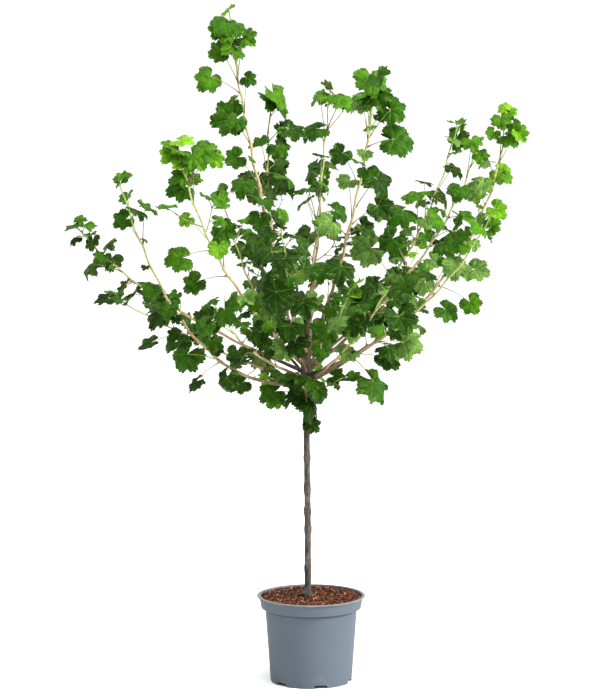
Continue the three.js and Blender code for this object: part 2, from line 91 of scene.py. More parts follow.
def sky_step(axis, low, high, from_level, to_level):
    """A brightness that goes smoothly from one level to the next along an axis of the sky."""
    step = sky_nodes.new("ShaderNodeMapRange")
    step.interpolation_type = "SMOOTHSTEP"
    sky_links.new(direction.outputs[axis], step.inputs["Value"])
    step.inputs["From Min"].default_value = low
    step.inputs["From Max"].default_value = high
    for name, level in (("To Min", from_level), ("To Max", to_level)):
        if isinstance(level, bpy.types.NodeSocket):
            sky_links.new(level, step.inputs[name])
        else:
            step.inputs[name].default_value = level
    return step.outputs["Result"]


in_front = sky_step("X", -0.7, 0.6, SKY_LEFT, SKY_RIGHT)
all_round = sky_step("Y", -0.3, 0.85, in_front, SKY_BEHIND)
with_top = sky_step("Z", 0.25, 0.6, all_round, SKY_OVERHEAD)
with_horizon = sky_step("Z", 0.07, 0.16, SKY_BEHIND, with_top)
sky_nodes["Background"].inputs["Color"].default_value = (1, 1, 1, 1)
sky_links.new(with_horizon, sky_nodes["Background"].inputs["Strength"])
bpy.context.scene.world = sky
bpy.context.scene.view_settings.view_transform = "Standard"

camera = bpy.data.cameras.new("camera")
camera.lens = LENS
camera.sensor_width = SENSOR
camera.clip_end = 2 * FLOOR_REACH
camera_holder = bpy.data.objects.new("camera", camera)
camera_holder.location = CAMERA_PLACE
camera_holder.rotation_euler = (math.radians(90 - CAMERA_DOWN), 0, 0)
bpy.context.scene.collection.objects.link(camera_holder)
bpy.context.scene.camera = camera_holder

floor_mesh = bpy.data.meshes.new("floor")
corners = ((-1, -1), (1, -1), (1, 1), (-1, 1))
floor_mesh.from_pydata([(x * FLOOR_REACH, y * FLOOR_REACH, 0) for x, y in corners], [], [(0, 1, 2, 3)])
floor_paint = bpy.data.materials.new("floor")
floor_paint.use_nodes = True
floor_inputs = floor_paint.node_tree.nodes["Principled BSDF"].inputs
floor_inputs["Base Color"].default_value = FLOOR_COLOUR
floor_inputs["Roughness"].default_value = FLOOR_ROUGHNESS
floor_inputs["Specular IOR Level"].default_value = FLOOR_SHINE
floor_mesh.materials.append(floor_paint)
floor = bpy.data.objects.new("floor", floor_mesh)
bpy.context.scene.collection.objects.link(floor)

# Pot
# A five-litre nursery pot, injection-moulded in blue-grey polypropylene with a satin surface.
# It has a stepped band and a small lip at its rim, and six notches drain its foot.

RIM_RADIUS = 0.1125
POT_HEIGHT = 0.18
WALL = 0.0018
LIP_HEIGHT = 0.004
LIP_WIDTH = 0.005
BAND_HEIGHT = 0.027
BAND_TAPER = 0.0035
BAND_STEP = 0.0085
STEP_HEIGHT = 0.0015
FOOT_RADIUS = 0.0845
BASE_THICKNESS = 0.0024
CHANNEL_HEIGHT = 0.007
CHANNEL_DRAFT = 0.003
PAD_RADIUS = 0.048
SKIRT_WIDTH = 0.012
NOTCHES = 6
NOTCH_DEGREES = 18
NOTCH_HEIGHT = 0.0065
NOTCH_TURN_DEGREES = 13.5 - 90
NOTCH_EDGE_DEGREES = 0.3
POT_SIDES = 192
POT_HARD_DEGREES = 50
SOFT_CORNER = 0.0012
CRISP_CORNER = 0.0005
CORNER_POINTS = 5
LARGEST_CORNER = 0.45
BAND_BOTTOM = POT_HEIGHT - BAND_HEIGHT
BAND_TOP_RADIUS = RIM_RADIUS - LIP_WIDTH
BAND_FOOT_RADIUS = BAND_TOP_RADIUS - BAND_TAPER
BODY_TOP_RADIUS = BAND_FOOT_RADIUS - BAND_STEP
POT_FLOOR = CHANNEL_HEIGHT + BASE_THICKNESS
POT_GREY = (80, 88, 97)
POT_SCUFF = (98, 108, 118)
POT_DUST = (148, 144, 136)
DUST_HEIGHT = (-0.0005, 0.0022)
DUST_WAVES = 0.004
SPLASH_HEIGHT = 0.09
STEP_SHADE = (48, 54, 60)
STEP_SHADE_REACH = 0.0026


def linear(colour):
    """A colour given in 0 to 255 as a screen shows it, in the values that a shader takes."""
    shares = [channel / 255 for channel in colour]
    return (*[s / 12.92 if s <= 0.04045 else ((s + 0.055) / 1.055) ** 2.4 for s in shares], 1)


class Wire:
    """A node's output in a material. Arithmetic on it adds Math nodes."""

    def __init__(self, paint, socket):
        self.paint = paint
        self.socket = socket

    def _with(self, operation, first, second):
        return self.paint.node("Math", {"operation": operation}, {0: first, 1: second})

    def __add__(self, other):
        return self._with("ADD", self, other)

    __radd__ = __add__

    def __sub__(self, other):
        return self._with("SUBTRACT", self, other)

    def __rsub__(self, other):
        return self._with("SUBTRACT", other, self)

    def __mul__(self, other):
        return self._with("MULTIPLY", self, other)

    __rmul__ = __mul__


class Paint:
    """A material's node tree. One method adds any node to it."""

    def __init__(self, name):
        self.material = bpy.data.materials.new(name)
        self.material.use_nodes = True
        self.tree = self.material.node_tree
        self.shader = self.tree.nodes["Principled BSDF"]

    def node(self, kind, settings, sockets, output=0):
        made = self.tree.nodes.new("ShaderNode" + kind)
        for name, value in settings.items():
            setattr(made, name, value)
        self.set(made, sockets)
        return Wire(self, made.outputs[output])

    def set(self, made, sockets):
        for name, value in sockets.items():
            if isinstance(value, Wire):
                self.tree.links.new(value.socket, made.inputs[name])
            else:
                made.inputs[name].default_value = value

    def finish(self, **sockets):
        self.set(self.shader, {name.replace("_", " "): value for name, value in sockets.items()})
        return self.material

    def place(self, stretch=(1, 1, 1)):
        """The object's own coordinates, in metres, stretched along each axis."""
        where = self.node("TexCoord", {}, {}, "Object")
        return self.node("Mapping", {}, {"Vector": where, "Scale": stretch})

    def clouds(self, where, scale, detail=3, roughness=0.55):
        """Soft noise round 0.5. A larger scale makes smaller clouds."""
        sockets = {"Vector": where, "Scale": scale, "Detail": detail, "Roughness": roughness}
        return self.node("TexNoise", {"noise_dimensions": "3D"}, sockets)

    def between(self, value, low, high):
        """The value's place between two limits, held to 0 and 1."""
        sockets = {"Value": value, "From Min": low, "From Max": high}
        return self.node("MapRange", {"clamp": True}, sockets)

    def mix(self, share, first, second):
        return self.node("Mix", {"data_type": "RGBA"}, {0: share, 6: first, 7: second}, 2)

    def relief(self, height, distance, strength=1.0):
        return self.node("Bump", {}, {"Height": height, "Distance": distance, "Strength": strength})


def bend(start, middle, end, t):
    """The place at a share t of a curve from start to end that leans towards middle."""
    return (1 - t) ** 2 * start + 2 * (1 - t) * t * middle + t**2 * end


def softened(corners):
    """The points of an outline whose corners, (radius, height, rounding), are rounded."""
    points = []
    for i, (radius, height, rounding) in enumerate(corners):
        here = np.array([radius, height])
        if rounding == 0:
            points.append(here)
            continue
        before, after = (np.array(corners[j][:2]) - here for j in (i - 1, i + 1))
        start = here + before * min(rounding / np.linalg.norm(before), LARGEST_CORNER)
        end = here + after * min(rounding / np.linalg.norm(after), LARGEST_CORNER)
        points += [bend(start, here, end, t) for t in np.linspace(0, 1, CORNER_POINTS)]
    return points


def piece(name, points, faces, materials, tones=None):
    """A smooth mesh object made of points and faces. tones is each face's material number."""
    mesh = bpy.data.meshes.new(name)
    mesh.from_pydata(points, [], faces)
    for material in materials:
        mesh.materials.append(material)
    if tones is not None:
        mesh.polygons.foreach_set("material_index", np.asarray(tones, np.int32))
    mesh.polygons.foreach_set("use_smooth", np.ones(len(mesh.polygons), bool))
    made = bpy.data.objects.new(name, mesh)
    bpy.context.scene.collection.objects.link(made)
    return made


def keep_corners(made, degrees):
    """Merges a piece's doubled points and keeps its edges hard that are sharper than the angle."""
    shape = bmesh.new()
    shape.from_mesh(made.data)
    bmesh.ops.remove_doubles(shape, verts=shape.verts, dist=1e-6)
    bmesh.ops.recalc_face_normals(shape, faces=shape.faces)
    for edge in shape.edges:
        edge.smooth = edge.calc_face_angle(0) < math.radians(degrees)
    shape.to_mesh(made.data)
    shape.free()


def turned(count, length):
    """The faces between so many columns of points round an axis, all of the same length."""
    faces = []
    for i in range(count):
        a, b = i * length, (i + 1) % count * length
        faces += [(a + j, b + j, b + j + 1, a + j + 1) for j in range(length - 1)]
    return faces


def pot_columns():
    """The pot's columns of points, (angle, in a notch). Two stand close at each end of a notch."""
    edges = []
    for i in range(NOTCHES):
        middle = NOTCH_TURN_DEGREES + 360 / NOTCHES * i
        edges.append((middle - NOTCH_DEGREES / 2, middle + NOTCH_DEGREES / 2))
    columns = []
    for k in range(POT_SIDES):
        angle = NOTCH_TURN_DEGREES + 180 / NOTCHES + 360 * k / POT_SIDES
        near = [abs((angle - end + 180) % 360 - 180) for pair in edges for end in pair]
        if min(near) > 2 * NOTCH_EDGE_DEGREES:
            inside = any((angle - low) % 360 < NOTCH_DEGREES for low, _ in edges)
            columns.append((angle % 360, inside))
    beside = NOTCH_EDGE_DEGREES / 2
    for low, high in edges:
        columns += [((low - beside) % 360, False), ((low + beside) % 360, True)]
        columns += [((high - beside) % 360, True), ((high + beside) % 360, False)]
    return sorted(columns)


def make_pot():
    skirt = FOOT_RADIUS - SKIRT_WIDTH
    soft, crisp = SOFT_CORNER, CRISP_CORNER
    lean = (BODY_TOP_RADIUS - FOOT_RADIUS) / BAND_BOTTOM
    rows = [NOTCH_HEIGHT + crisp, NOTCH_HEIGHT + 2 * soft, BAND_BOTTOM / 3, BAND_BOTTOM * 2 / 3]
    outline = softened([
        (0, 0, 0),
        (PAD_RADIUS, 0, soft),
        (PAD_RADIUS + CHANNEL_DRAFT, CHANNEL_HEIGHT, crisp),
        (skirt - CHANNEL_DRAFT, CHANNEL_HEIGHT, crisp),
        (skirt, 0, crisp),
        (FOOT_RADIUS, 0, soft),
        *[(FOOT_RADIUS + lean * height, height, 0) for height in rows],
        (BODY_TOP_RADIUS, BAND_BOTTOM, crisp),
        (BAND_FOOT_RADIUS, BAND_BOTTOM + STEP_HEIGHT, soft),
        (BAND_TOP_RADIUS, POT_HEIGHT - LIP_HEIGHT, crisp),
        (RIM_RADIUS, POT_HEIGHT - LIP_HEIGHT + STEP_HEIGHT, soft),
        (RIM_RADIUS, POT_HEIGHT, soft),
        (BAND_TOP_RADIUS - WALL, POT_HEIGHT, soft),
        (BAND_FOOT_RADIUS - WALL, BAND_BOTTOM + STEP_HEIGHT + WALL, crisp),
        (BODY_TOP_RADIUS - WALL, BAND_BOTTOM, crisp),
        (FOOT_RADIUS - WALL, POT_FLOOR, crisp),
        (0, POT_FLOOR, 0),
    ])
    columns = pot_columns()
    points = []
    for angle, notched in columns:
        turn = math.radians(angle)
        for radius, height in outline:
            if notched and radius > skirt - CHANNEL_DRAFT:
                height = max(height, NOTCH_HEIGHT)
            points.append((radius * math.cos(turn), radius * math.sin(turn), height))
    made = piece("nursery_pot", points, turned(len(columns), len(outline)), [pot_paint()])
    keep_corners(made, POT_HARD_DEGREES)
    return made


def pot_paint():
    """Satin plastic with level scuffs, dust on its rim and low down, and a dark line at its step."""
    paint = Paint("pot_plastic")
    where = paint.place()
    broad = paint.clouds(where, 9, 2)
    fine = paint.clouds(where, 420)
    scratches = paint.clouds(paint.place((14, 14, 190)), 3.2, 4)
    height = paint.node("SeparateXYZ", {}, {0: where}, "Z")
    dust_edge = [POT_HEIGHT + above for above in DUST_HEIGHT]
    dust = paint.between(height + DUST_WAVES * paint.clouds(where, 60), *dust_edge)
    low_down = paint.between(height, SPLASH_HEIGHT, 0)
    splash = paint.between(paint.clouds(where, 34, 4), 0.62, 0.8) * low_down
    wear = paint.between(scratches, 0.6, 0.78) * 0.25 + paint.between(broad, 0.4, 0.75) * 0.16
    colour = paint.mix(wear, linear(POT_GREY), linear(POT_SCUFF))
    colour = paint.mix(splash * 0.16, colour, linear(POT_DUST))
    colour = paint.mix(dust * 0.6, colour, linear(POT_DUST))
    roughness = 0.56 + 0.12 * broad + 0.2 * dust
    from_step = height - (BAND_BOTTOM - 0.4 * STEP_SHADE_REACH)
    shade = paint.between(from_step * from_step, STEP_SHADE_REACH**2, 0)
    colour = paint.mix(shade * 0.8, colour, linear(STEP_SHADE))
    relief = paint.relief(fine + 0.6 * scratches, 0.00018, 0.6)
    return paint.finish(Base_Color=colour, Roughness=roughness, Normal=relief, Specular_IOR_Level=0.16)


pot = make_pot()
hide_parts("pot")
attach(pot, "root")

# Soil
# Dark potting mix that fills the pot to just under its rim. Its top is a shallow mound,
# lumpy, and is all but hidden by the bark that lies on it.

SOIL_TOP = 0.171
SOIL_CROWN = 0.0015
SOIL_RADIUS = 0.1042
SOIL_FOOT_RADIUS = 0.0825
SOIL_SIDES = 72
SOIL_RINGS = 26
SOIL_GAP = 0.0003
SOIL_SHOULDER = 0.002
SOIL_LUMP = 0.0012
SOIL_LUMPS_IN_A_METRE = 110
SOIL_HARD_DEGREES = 60
SOIL_RISE = 0.0048
SOIL_DARK = (38, 24, 17)
SOIL_BROWN = (84, 52, 34)


def soil_paint():
    paint = Paint("potting_soil")
    where = paint.place()
    lumps = paint.clouds(where, 130, 5, 0.65)
    colour = paint.mix(paint.between(lumps, 0.35, 0.7), linear(SOIL_DARK), linear(SOIL_BROWN))
    return paint.finish(Base_Color=colour, Roughness=0.95, Normal=paint.relief(lumps, 0.003))


def make_soil():
    outline = [
        (0, POT_FLOOR + SOIL_GAP),
        (SOIL_FOOT_RADIUS - WALL, POT_FLOOR + SOIL_GAP),
        (BODY_TOP_RADIUS - 2 * WALL, BAND_BOTTOM),
        (SOIL_RADIUS, SOIL_TOP + SOIL_RISE - SOIL_SHOULDER),
    ]
    outline += [(SOIL_RADIUS * (1 - k / SOIL_RINGS), SOIL_TOP) for k in range(SOIL_RINGS + 1)]
    points = []
    for i in range(SOIL_SIDES):
        turn = 2 * math.pi * i / SOIL_SIDES
        for radius, height in outline:
            x, y = radius * math.cos(turn), radius * math.sin(turn)
            if height == SOIL_TOP:
                height += SOIL_RISE + SOIL_CROWN * (1 - radius / SOIL_RADIUS) - SOIL_LUMP
                height += SOIL_LUMP * noise.noise(Vector((x, y, 0)) * SOIL_LUMPS_IN_A_METRE)
            points.append((x, y, height))
    made = piece("potting_soil_bed", points, turned(SOIL_SIDES, len(outline)), [soil_paint()])
    keep_corners(made, SOIL_HARD_DEGREES)
    return made


soil = make_soil()
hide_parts("soil")
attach(soil, "root")

# Bark mulch
# Chips of reddish pine bark, split along their grain and tipped loosely over the soil. They
# lie at all turns and a little tilted, and their tones run from straw to near black.

MULCH_RADIUS = 0.0992
MULCH_HEIGHT = 0.0054
MULCH_REACH = 0.1043
MULCH_SIDES = 48
MULCH_HOLE = 0.009
MULCH_RINGS = (MULCH_HOLE, 0.05, MULCH_RADIUS)
STEM_PLACE = -0.007
CHIP_POINTS = {"Vertices X": 4, "Vertices Y": 3, "Vertices Z": 2}
CHIP_SMALLEST = (0.4, 0.5, 0.6)
CHIP_LARGEST = (1.35, 1.5, 1.5)
CHIP_TILT = 0.5
CHIP_ROUGHNESS = 0.0024
CHIP_GRAIN = 190
MULCH = [
    ("mulch_rust", (126, 70, 44), (0.0118, 0.0046, 0.0015), 15000, 3),
    ("mulch_brown", (92, 52, 34), (0.0105, 0.0046, 0.0020), 14000, 8),
    ("mulch_straw", (206, 156, 120), (0.0102, 0.0024, 0.0010), 11500, 14),
    ("mulch_dark", (36, 22, 17), (0.0095, 0.0054, 0.0018), 13000, 21),
]


def shaded(colour, share):
    """A colour that is darker or lighter by a share, in the values that a shader takes."""
    return (*[min(1, share * channel) for channel in linear(colour)[:3]], 1)


def mulch_paint(name, tone):
    """One tone of bark, darker in patches and along its grain."""
    paint = Paint(name)
    grain = paint.clouds(paint.place(), 700, 4, 0.6)
    patches = paint.clouds(paint.place(), 95, 2)
    share = paint.between(0.55 * grain + 0.45 * patches, 0.38, 0.62)
    colour = paint.mix(share, shaded(tone, 0.45), linear(tone))
    relief = paint.relief(grain, 0.0006)
    return paint.finish(Base_Color=colour, Roughness=0.88, Normal=relief, Specular_IOR_Level=0.15)


class Growing:
    """A Geometry Nodes tree with named inputs, put on an object as a modifier."""

    def __init__(self, name):
        self.tree = bpy.data.node_groups.new(name, "GeometryNodeTree")
        self.socket("Geometry", "OUTPUT", "Geometry")
        self.socket("Geometry", "INPUT", "Geometry")
        self.start = self.tree.nodes.new("NodeGroupInput")
        self.values = {}

    def socket(self, name, way, kind):
        interface = self.tree.interface
        return interface.new_socket(name=name, in_out=way, socket_type="NodeSocket" + kind)

    def input(self, name, kind, value):
        self.values[self.socket(name, "INPUT", kind).identifier] = value
        return self.start.outputs[name]

    def node(self, kind, settings, sockets, output=0):
        made = self.tree.nodes.new(kind)
        for name, value in settings.items():
            setattr(made, name, value)
        for name, value in sockets.items():
            if isinstance(value, bpy.types.NodeSocket):
                self.tree.links.new(value, made.inputs[name])
            else:
                made.inputs[name].default_value = value
        return made.outputs[output]

    def grown(self, holder, name, result):
        """The plain mesh object that the tree makes on the holder, which is then removed."""
        end = self.tree.nodes.new("NodeGroupOutput")
        self.tree.links.new(result, end.inputs[0])
        modifier = holder.modifiers.new(name, "NODES")
        modifier.node_group = self.tree
        for identifier, value in self.values.items():
            modifier[identifier] = value
        seen = holder.evaluated_get(bpy.context.evaluated_depsgraph_get())
        mesh = bpy.data.meshes.new_from_object(seen)
        mesh.name = name
        bpy.data.objects.remove(holder)
        made = bpy.data.objects.new(name, mesh)
        bpy.context.scene.collection.objects.link(made)
        return made


def mulch_ground():
    """The mound on which the chips are strewn, open round the stem's foot."""
    turns = [2 * math.pi * i / MULCH_SIDES for i in range(MULCH_SIDES)]
    points, faces = [], []
    for radius in MULCH_RINGS:
        height = SOIL_TOP + MULCH_HEIGHT + SOIL_CROWN * (1 - radius / SOIL_RADIUS)
        shift = STEM_PLACE if radius == MULCH_HOLE else 0
        points += [(radius * math.cos(t) + shift, radius * math.sin(t), height) for t in turns]
    for ring in range(len(MULCH_RINGS) - 1):
        for i in range(MULCH_SIDES):
            a, b = MULCH_SIDES * ring + i, MULCH_SIDES * ring + (i + 1) % MULCH_SIDES
            faces.append((a, a + MULCH_SIDES, b + MULCH_SIDES, b))
    return piece("mulch_ground", points, faces, [])


def strewn_chips(name, tone, size, density, seed):
    """Chips of one tone. Each is a small box, turned, tipped and sized at random, then roughened."""
    mulch = Growing(name)
    chips = mulch.input("Chips in a square metre", "Float", float(density))
    largest = mulch.input("Chip size", "Vector", size)
    number = mulch.input("Seed", "Int", seed)
    skin = mulch.input("Bark", "Material", mulch_paint(name, tone))
    sockets = {"Mesh": mulch.start.outputs["Geometry"], "Density": chips, "Seed": number}
    strewn = mulch.node("GeometryNodeDistributePointsOnFaces", {}, sockets)
    chip = mulch.node("GeometryNodeMeshCube", {}, {"Size": largest, **CHIP_POINTS})
    vector = {"data_type": "FLOAT_VECTOR"}
    sockets = {0: (-CHIP_TILT, -CHIP_TILT, 0), 1: (CHIP_TILT, CHIP_TILT, 2 * math.pi), "Seed": number}
    turn = mulch.node("FunctionNodeRandomValue", vector, sockets)
    sockets = {0: CHIP_SMALLEST, 1: CHIP_LARGEST, "Seed": seed + 1}
    scale = mulch.node("FunctionNodeRandomValue", vector, sockets)
    sockets = {"Points": strewn, "Instance": chip, "Rotation": turn, "Scale": scale}
    laid = mulch.node("GeometryNodeInstanceOnPoints", {}, sockets)
    solid = mulch.node("GeometryNodeRealizeInstances", {}, {0: laid})
    waves = mulch.node("ShaderNodeTexNoise", {}, {"Scale": CHIP_GRAIN, "Detail": 1.0}, "Color")
    sockets = {0: waves, 1: (0.5, 0.5, 0.5)}
    centred = mulch.node("ShaderNodeVectorMath", {"operation": "SUBTRACT"}, sockets)
    sockets = {0: centred, "Scale": CHIP_ROUGHNESS}
    shift = mulch.node("ShaderNodeVectorMath", {"operation": "SCALE"}, sockets)
    split = mulch.node("GeometryNodeSetPosition", {}, {"Geometry": solid, "Offset": shift})
    done = mulch.node("GeometryNodeSetMaterial", {}, {"Geometry": split, "Material": skin})
    made = mulch.grown(mulch_ground(), name, done)
    for point in made.data.vertices:
        point.co.xy *= min(1, MULCH_REACH / max(point.co.xy.length, MULCH_REACH))
    return made


for row in MULCH:
    mulch = strewn_chips(*row)
    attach(mulch, "root")

# Stem
# The straight trunk, grey-brown and finely fissured, with a knot where each old bud was
# rubbed off. It has a knobbly stub at its flared foot, and a head where all the boughs start.

STEM_GAP = 0.0003
STEM_FOOT = np.array([STEM_PLACE, 0, SOIL_TOP + SOIL_CROWN + STEM_GAP])
STEM_TOP = 0.684
STEM_END = [(0, 0.92), (0.0016, 0.62), (0.0021, 0.0)]
STEM_LEAN = -0.004
STEM_SWAY = 0.0016
STEM_RADIUS = 0.0068
STEM_TAPER = 0.08
FLARE_RADIUS = 0.0052
FLARE_HEIGHT = 0.009
HEAD_START = 0.606
HEAD_END = 0.668
HEAD_RADIUS = 0.011
HEAD_TOP_RADIUS = 0.0064
KNOTS = [0.238, 0.318, 0.356, 0.402, 0.468, 0.541]
KNOT_RADIUS = 0.0011
KNOT_LENGTH = 0.008
KNOT_TURN = 2.4
FIRST_KNOT_TURN = 4.2
KNOT_BUMP = 0.22
KNOT_DENT = 0.14
KNOT_DENT_NARROWER = 2.6
STUB_HEIGHT = 0.185
STUB_TURN = 3.9
STUB_REACH = 0.0105
STUB_LENGTH = 0.0072
STUB_WIDTH = 0.7
STUB_ROUGHNESS = 2.5
STEM_SINK = 0.003
STEM_SIDES = 40
STEM_STEP = 0.0024
STEM_ROUGHNESS = 0.07
STEM_FURROWS = (38, 260)
STEM_HARD_DEGREES = 80
STEM_GREY = (72, 66, 61)
STEM_DARK = (34, 30, 28)
STEM_PALE = (122, 114, 105)


def smoothstep(value, low, high):
    share = np.clip((value - low) / (high - low), 0, 1)
    return share * share * (3 - 2 * share)


def lerp(low, high, share):
    return (1 - share) * low + share * high


def stem_centre(z):
    share = (z - STEM_FOOT[2]) / (STEM_TOP - STEM_FOOT[2])
    sway = STEM_SWAY * math.sin(1.3 * math.pi * share) * (1 - share)
    return np.array([STEM_FOOT[0] + STEM_LEAN * share + sway, STEM_FOOT[1], z])


def stem_radius(z):
    height = z - STEM_FOOT[2]
    radius = STEM_RADIUS * (1 - STEM_TAPER * height / (STEM_TOP - STEM_FOOT[2]))
    radius += FLARE_RADIUS * math.exp(-height / FLARE_HEIGHT)
    radius += sum(KNOT_RADIUS * math.exp(-(((z - knot) / KNOT_LENGTH) ** 2)) for knot in KNOTS)
    swollen = smoothstep(z, HEAD_START, HEAD_START + 2 * HEAD_RADIUS)
    closed = smoothstep(z, HEAD_END - HEAD_RADIUS, STEM_TOP)
    return lerp(lerp(radius, HEAD_RADIUS, swollen), HEAD_TOP_RADIUS, closed)


def bark_relief(point, along, across):
    """How far bark stands out at a point, from -1 to 1. Its furrows run up the limb."""
    place = Vector(point[:2]).to_3d() * across + Vector((0, 0, point[2] * along))
    return max(-1.0, min(1.0, noise.fractal(place, 0.9, 2.1, 4)))


def knot_bump(above, turn):
    """How far a rubbed-off bud's knot stands out of the stem. It is dented in its middle."""
    facing = max(0.0, math.cos(turn)) ** 3
    near = above / KNOT_LENGTH
    dent = KNOT_DENT * math.exp(-((KNOT_DENT_NARROWER * near) ** 2))
    return facing * (KNOT_BUMP * math.exp(-(near**2)) - dent)


def ring_faces(rings, sides):
    """The faces between rings of points that follow each other along a limb."""
    faces = []
    for start in range(0, (rings - 1) * sides, sides):
        for k in range(sides):
            a, b = start + k, start + (k + 1) % sides
            faces.append((a, b, b + sides, a + sides))
    return faces


def bark_paint(name, dark, plain, pale, stretch, scale, roughness):
    """Bark: dark furrows between plain ridges, with paler flakes and small corky dots."""
    paint = Paint(name)
    furrows = paint.clouds(paint.place(stretch), scale, 5, 0.62)
    flakes = paint.clouds(paint.place(), 60, 3)
    dots = paint.between(paint.clouds(paint.place((1, 1, 0.5)), 330, 1), 0.66, 0.74)
    colour = paint.mix(paint.between(furrows, 0.36, 0.56), linear(dark), linear(plain))
    share = paint.between(flakes, 0.46, 0.66) * paint.between(furrows, 0.44, 0.6)
    colour = paint.mix(share * 0.7 + dots * 0.3, colour, linear(pale))
    relief = paint.relief(furrows + 0.4 * dots, 0.0012, 0.9)
    return paint.finish(Base_Color=colour, Roughness=roughness, Normal=relief, Specular_IOR_Level=0.3)


def make_stem():
    heights = np.arange(STEM_FOOT[2] - STEM_SINK, STEM_TOP, STEM_STEP)
    rows = [(z, 1.0) for z in heights]
    rows += [(STEM_TOP + above, share) for above, share in STEM_END]
    points = []
    for z, share in rows:
        centre = stem_centre(z)
        radius = stem_radius(max(min(z, STEM_TOP), STEM_FOOT[2])) * share
        for k in range(STEM_SIDES):
            turn = 2 * math.pi * k / STEM_SIDES
            out = np.array([math.cos(turn), math.sin(turn), 0])
            rough = STEM_ROUGHNESS * bark_relief(centre + out * radius, *STEM_FURROWS)
            for number, knot in enumerate(KNOTS):
                rough += knot_bump(z - knot, turn - KNOT_TURN * number - FIRST_KNOT_TURN)
            aside = (turn - STUB_TURN + math.pi) % (2 * math.pi) - math.pi
            near = ((z - STUB_HEIGHT) / STUB_LENGTH) ** 2 + (aside / STUB_WIDTH) ** 2
            stub = STUB_REACH * math.exp(-near) * (1 + STUB_ROUGHNESS * rough)
            points.append(centre + out * (radius * (1 + rough) + stub))
    faces = [*ring_faces(len(rows), STEM_SIDES), tuple(reversed(range(STEM_SIDES)))]
    paint = bark_paint("stem_bark", STEM_DARK, STEM_GREY, STEM_PALE, (1, 1, 0.16), 420, 0.85)
    made = piece("trunk", points, faces, [paint])
    keep_corners(made, STEM_HARD_DEGREES)
    return made


stem = make_stem()
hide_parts("stem")
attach(stem, "root")

# Boughs
# The limbs that arch up and out from the head, each on its own curve and thinner all the way
# to its tip. The lower part is a bare bough of brown wood, older and darker on some of them.

Shoot = namedtuple("Shoot", "name root elbow tip girth bare leaf full")
SHOOTS = [
    Shoot("leader", 0.684, (-0.122, 0.032, 1.009), (-0.168, 0.04, 1.378), 0.0054, 0.12, 0.078, 1.15),
    Shoot("back_left_tall", 0.656, (-0.114, 0.195, 0.895), (-0.085, 0.25, 1.2), 0.0036, 0.105, 0.08, 1.15),
    Shoot("back_tall", 0.67, (0.009, 0.221, 0.913), (0.041, 0.29, 1.212), 0.0034, 0.11, 0.072, 1),
    Shoot("front_right_tall", 0.663, (0.1, -0.15, 0.969), (0.126, -0.19, 1.258), 0.0044, 0.125, 0.08, 1.1),
    Shoot("right_far", 0.624, (0.371, -0.094, 0.825), (0.388, -0.11, 1.184), 0.0044, 0.135, 0.055, 1),
    Shoot("right_back", 0.657, (0.228, 0.175, 0.81), (0.31, 0.23, 1.146), 0.0036, 0.11, 0.061, 1),
    Shoot("right_middle", 0.646, (0.279, 0.053, 0.869), (0.344, 0.06, 1.112), 0.004, 0.11, 0.063, 1),
    Shoot("right_front", 0.635, (0.245, -0.228, 0.769), (0.344, -0.28, 0.983), 0.004, 0.12, 0.068, 1.1),
    Shoot("left_front", 0.657, (-0.212, -0.206, 0.859), (-0.262, -0.26, 1.126), 0.0042, 0.111, 0.076, 1.1),
    Shoot("left_middle", 0.624, (-0.258, -0.086, 0.599), (-0.383, -0.15, 1.05), 0.0042, 0.125, 0.065, 1),
    Shoot("left_far", 0.646, (-0.381, 0.125, 0.783), (-0.496, 0.13, 0.945), 0.0038, 0.125, 0.059, 1),
    Shoot("left_low", 0.624, (-0.206, 0.194, 0.659), (-0.42, 0.26, 0.775), 0.0038, 0.115, 0.072, 1),
    Shoot("front_short", 0.657, (0.029, -0.149, 0.727), (0.079, -0.23, 0.834), 0.0034, 0.095, 0.084, 1.2),
    Shoot("back_middle", 0.643, (0.01, 0.23, 0.8), (0.025, 0.37, 1.05), 0.0034, 0.105, 0.08, 1),
    Shoot("front_middle", 0.646, (-0.04, -0.23, 0.76), (-0.06, -0.345, 0.985), 0.0036, 0.105, 0.08, 1),
    Shoot("back_left_low", 0.635, (-0.12, 0.21, 0.74), (-0.185, 0.32, 0.96), 0.0034, 0.108, 0.08, 1),
    Shoot("front_right_low", 0.624, (0.09, -0.23, 0.72), (0.15, -0.34, 0.86), 0.0034, 0.105, 0.08, 1),
    Shoot("front_left_low", 0.635, (-0.14, -0.21, 0.7), (-0.19, -0.33, 0.82), 0.0034, 0.105, 0.08, 1),
    Shoot("back_right_low", 0.624, (0.15, 0.23, 0.71), (0.235, 0.335, 0.88), 0.0034, 0.105, 0.078, 1),
]
SPURS = [
    Shoot("front", 0.603, (-0.014, -0.046, 0.622), (-0.022, -0.074, 0.632), 0.0026, 0, 0.078, 1.6),
    Shoot("right", 0.598, (0.03, -0.022, 0.62), (0.066, -0.04, 0.64), 0.0026, 0, 0.078, 1.6),
    Shoot("back", 0.603, (-0.006, 0.046, 0.622), (0.004, 0.076, 0.634), 0.0026, 0, 0.078, 1.6),
    Shoot("left", 0.598, (-0.048, -0.008, 0.618), (-0.084, -0.014, 0.636), 0.0026, 0, 0.078, 1.6),
]
SPANS = 9
TIP_RADIUS = 0.0013
SHOOT_TAPER = 0.8
WANDER = 0.0016
WANDER_LENGTH = 0.085
WANDER_START = 0.1
SHOOT_PHASE = 2.4
COLLAR_GIRTH = 0.35
COLLAR_LENGTH = 0.02
BOUGH_SIDES = 14
BOUGH_STEP = 0.004
BOUGH_OVERLAP = 0.004
OLD_WOOD = {"left_low": 0.072, "right_front": 0.045, "left_middle": 0.03, "back_tall": 0.05}
OLD_WOOD_GIRTH = 0.5
OLD_WOOD_FADE = (-0.012, 0.004)
BOUGH_ROUGHNESS = 0.09
BOUGH_FURROWS = (90, 300)
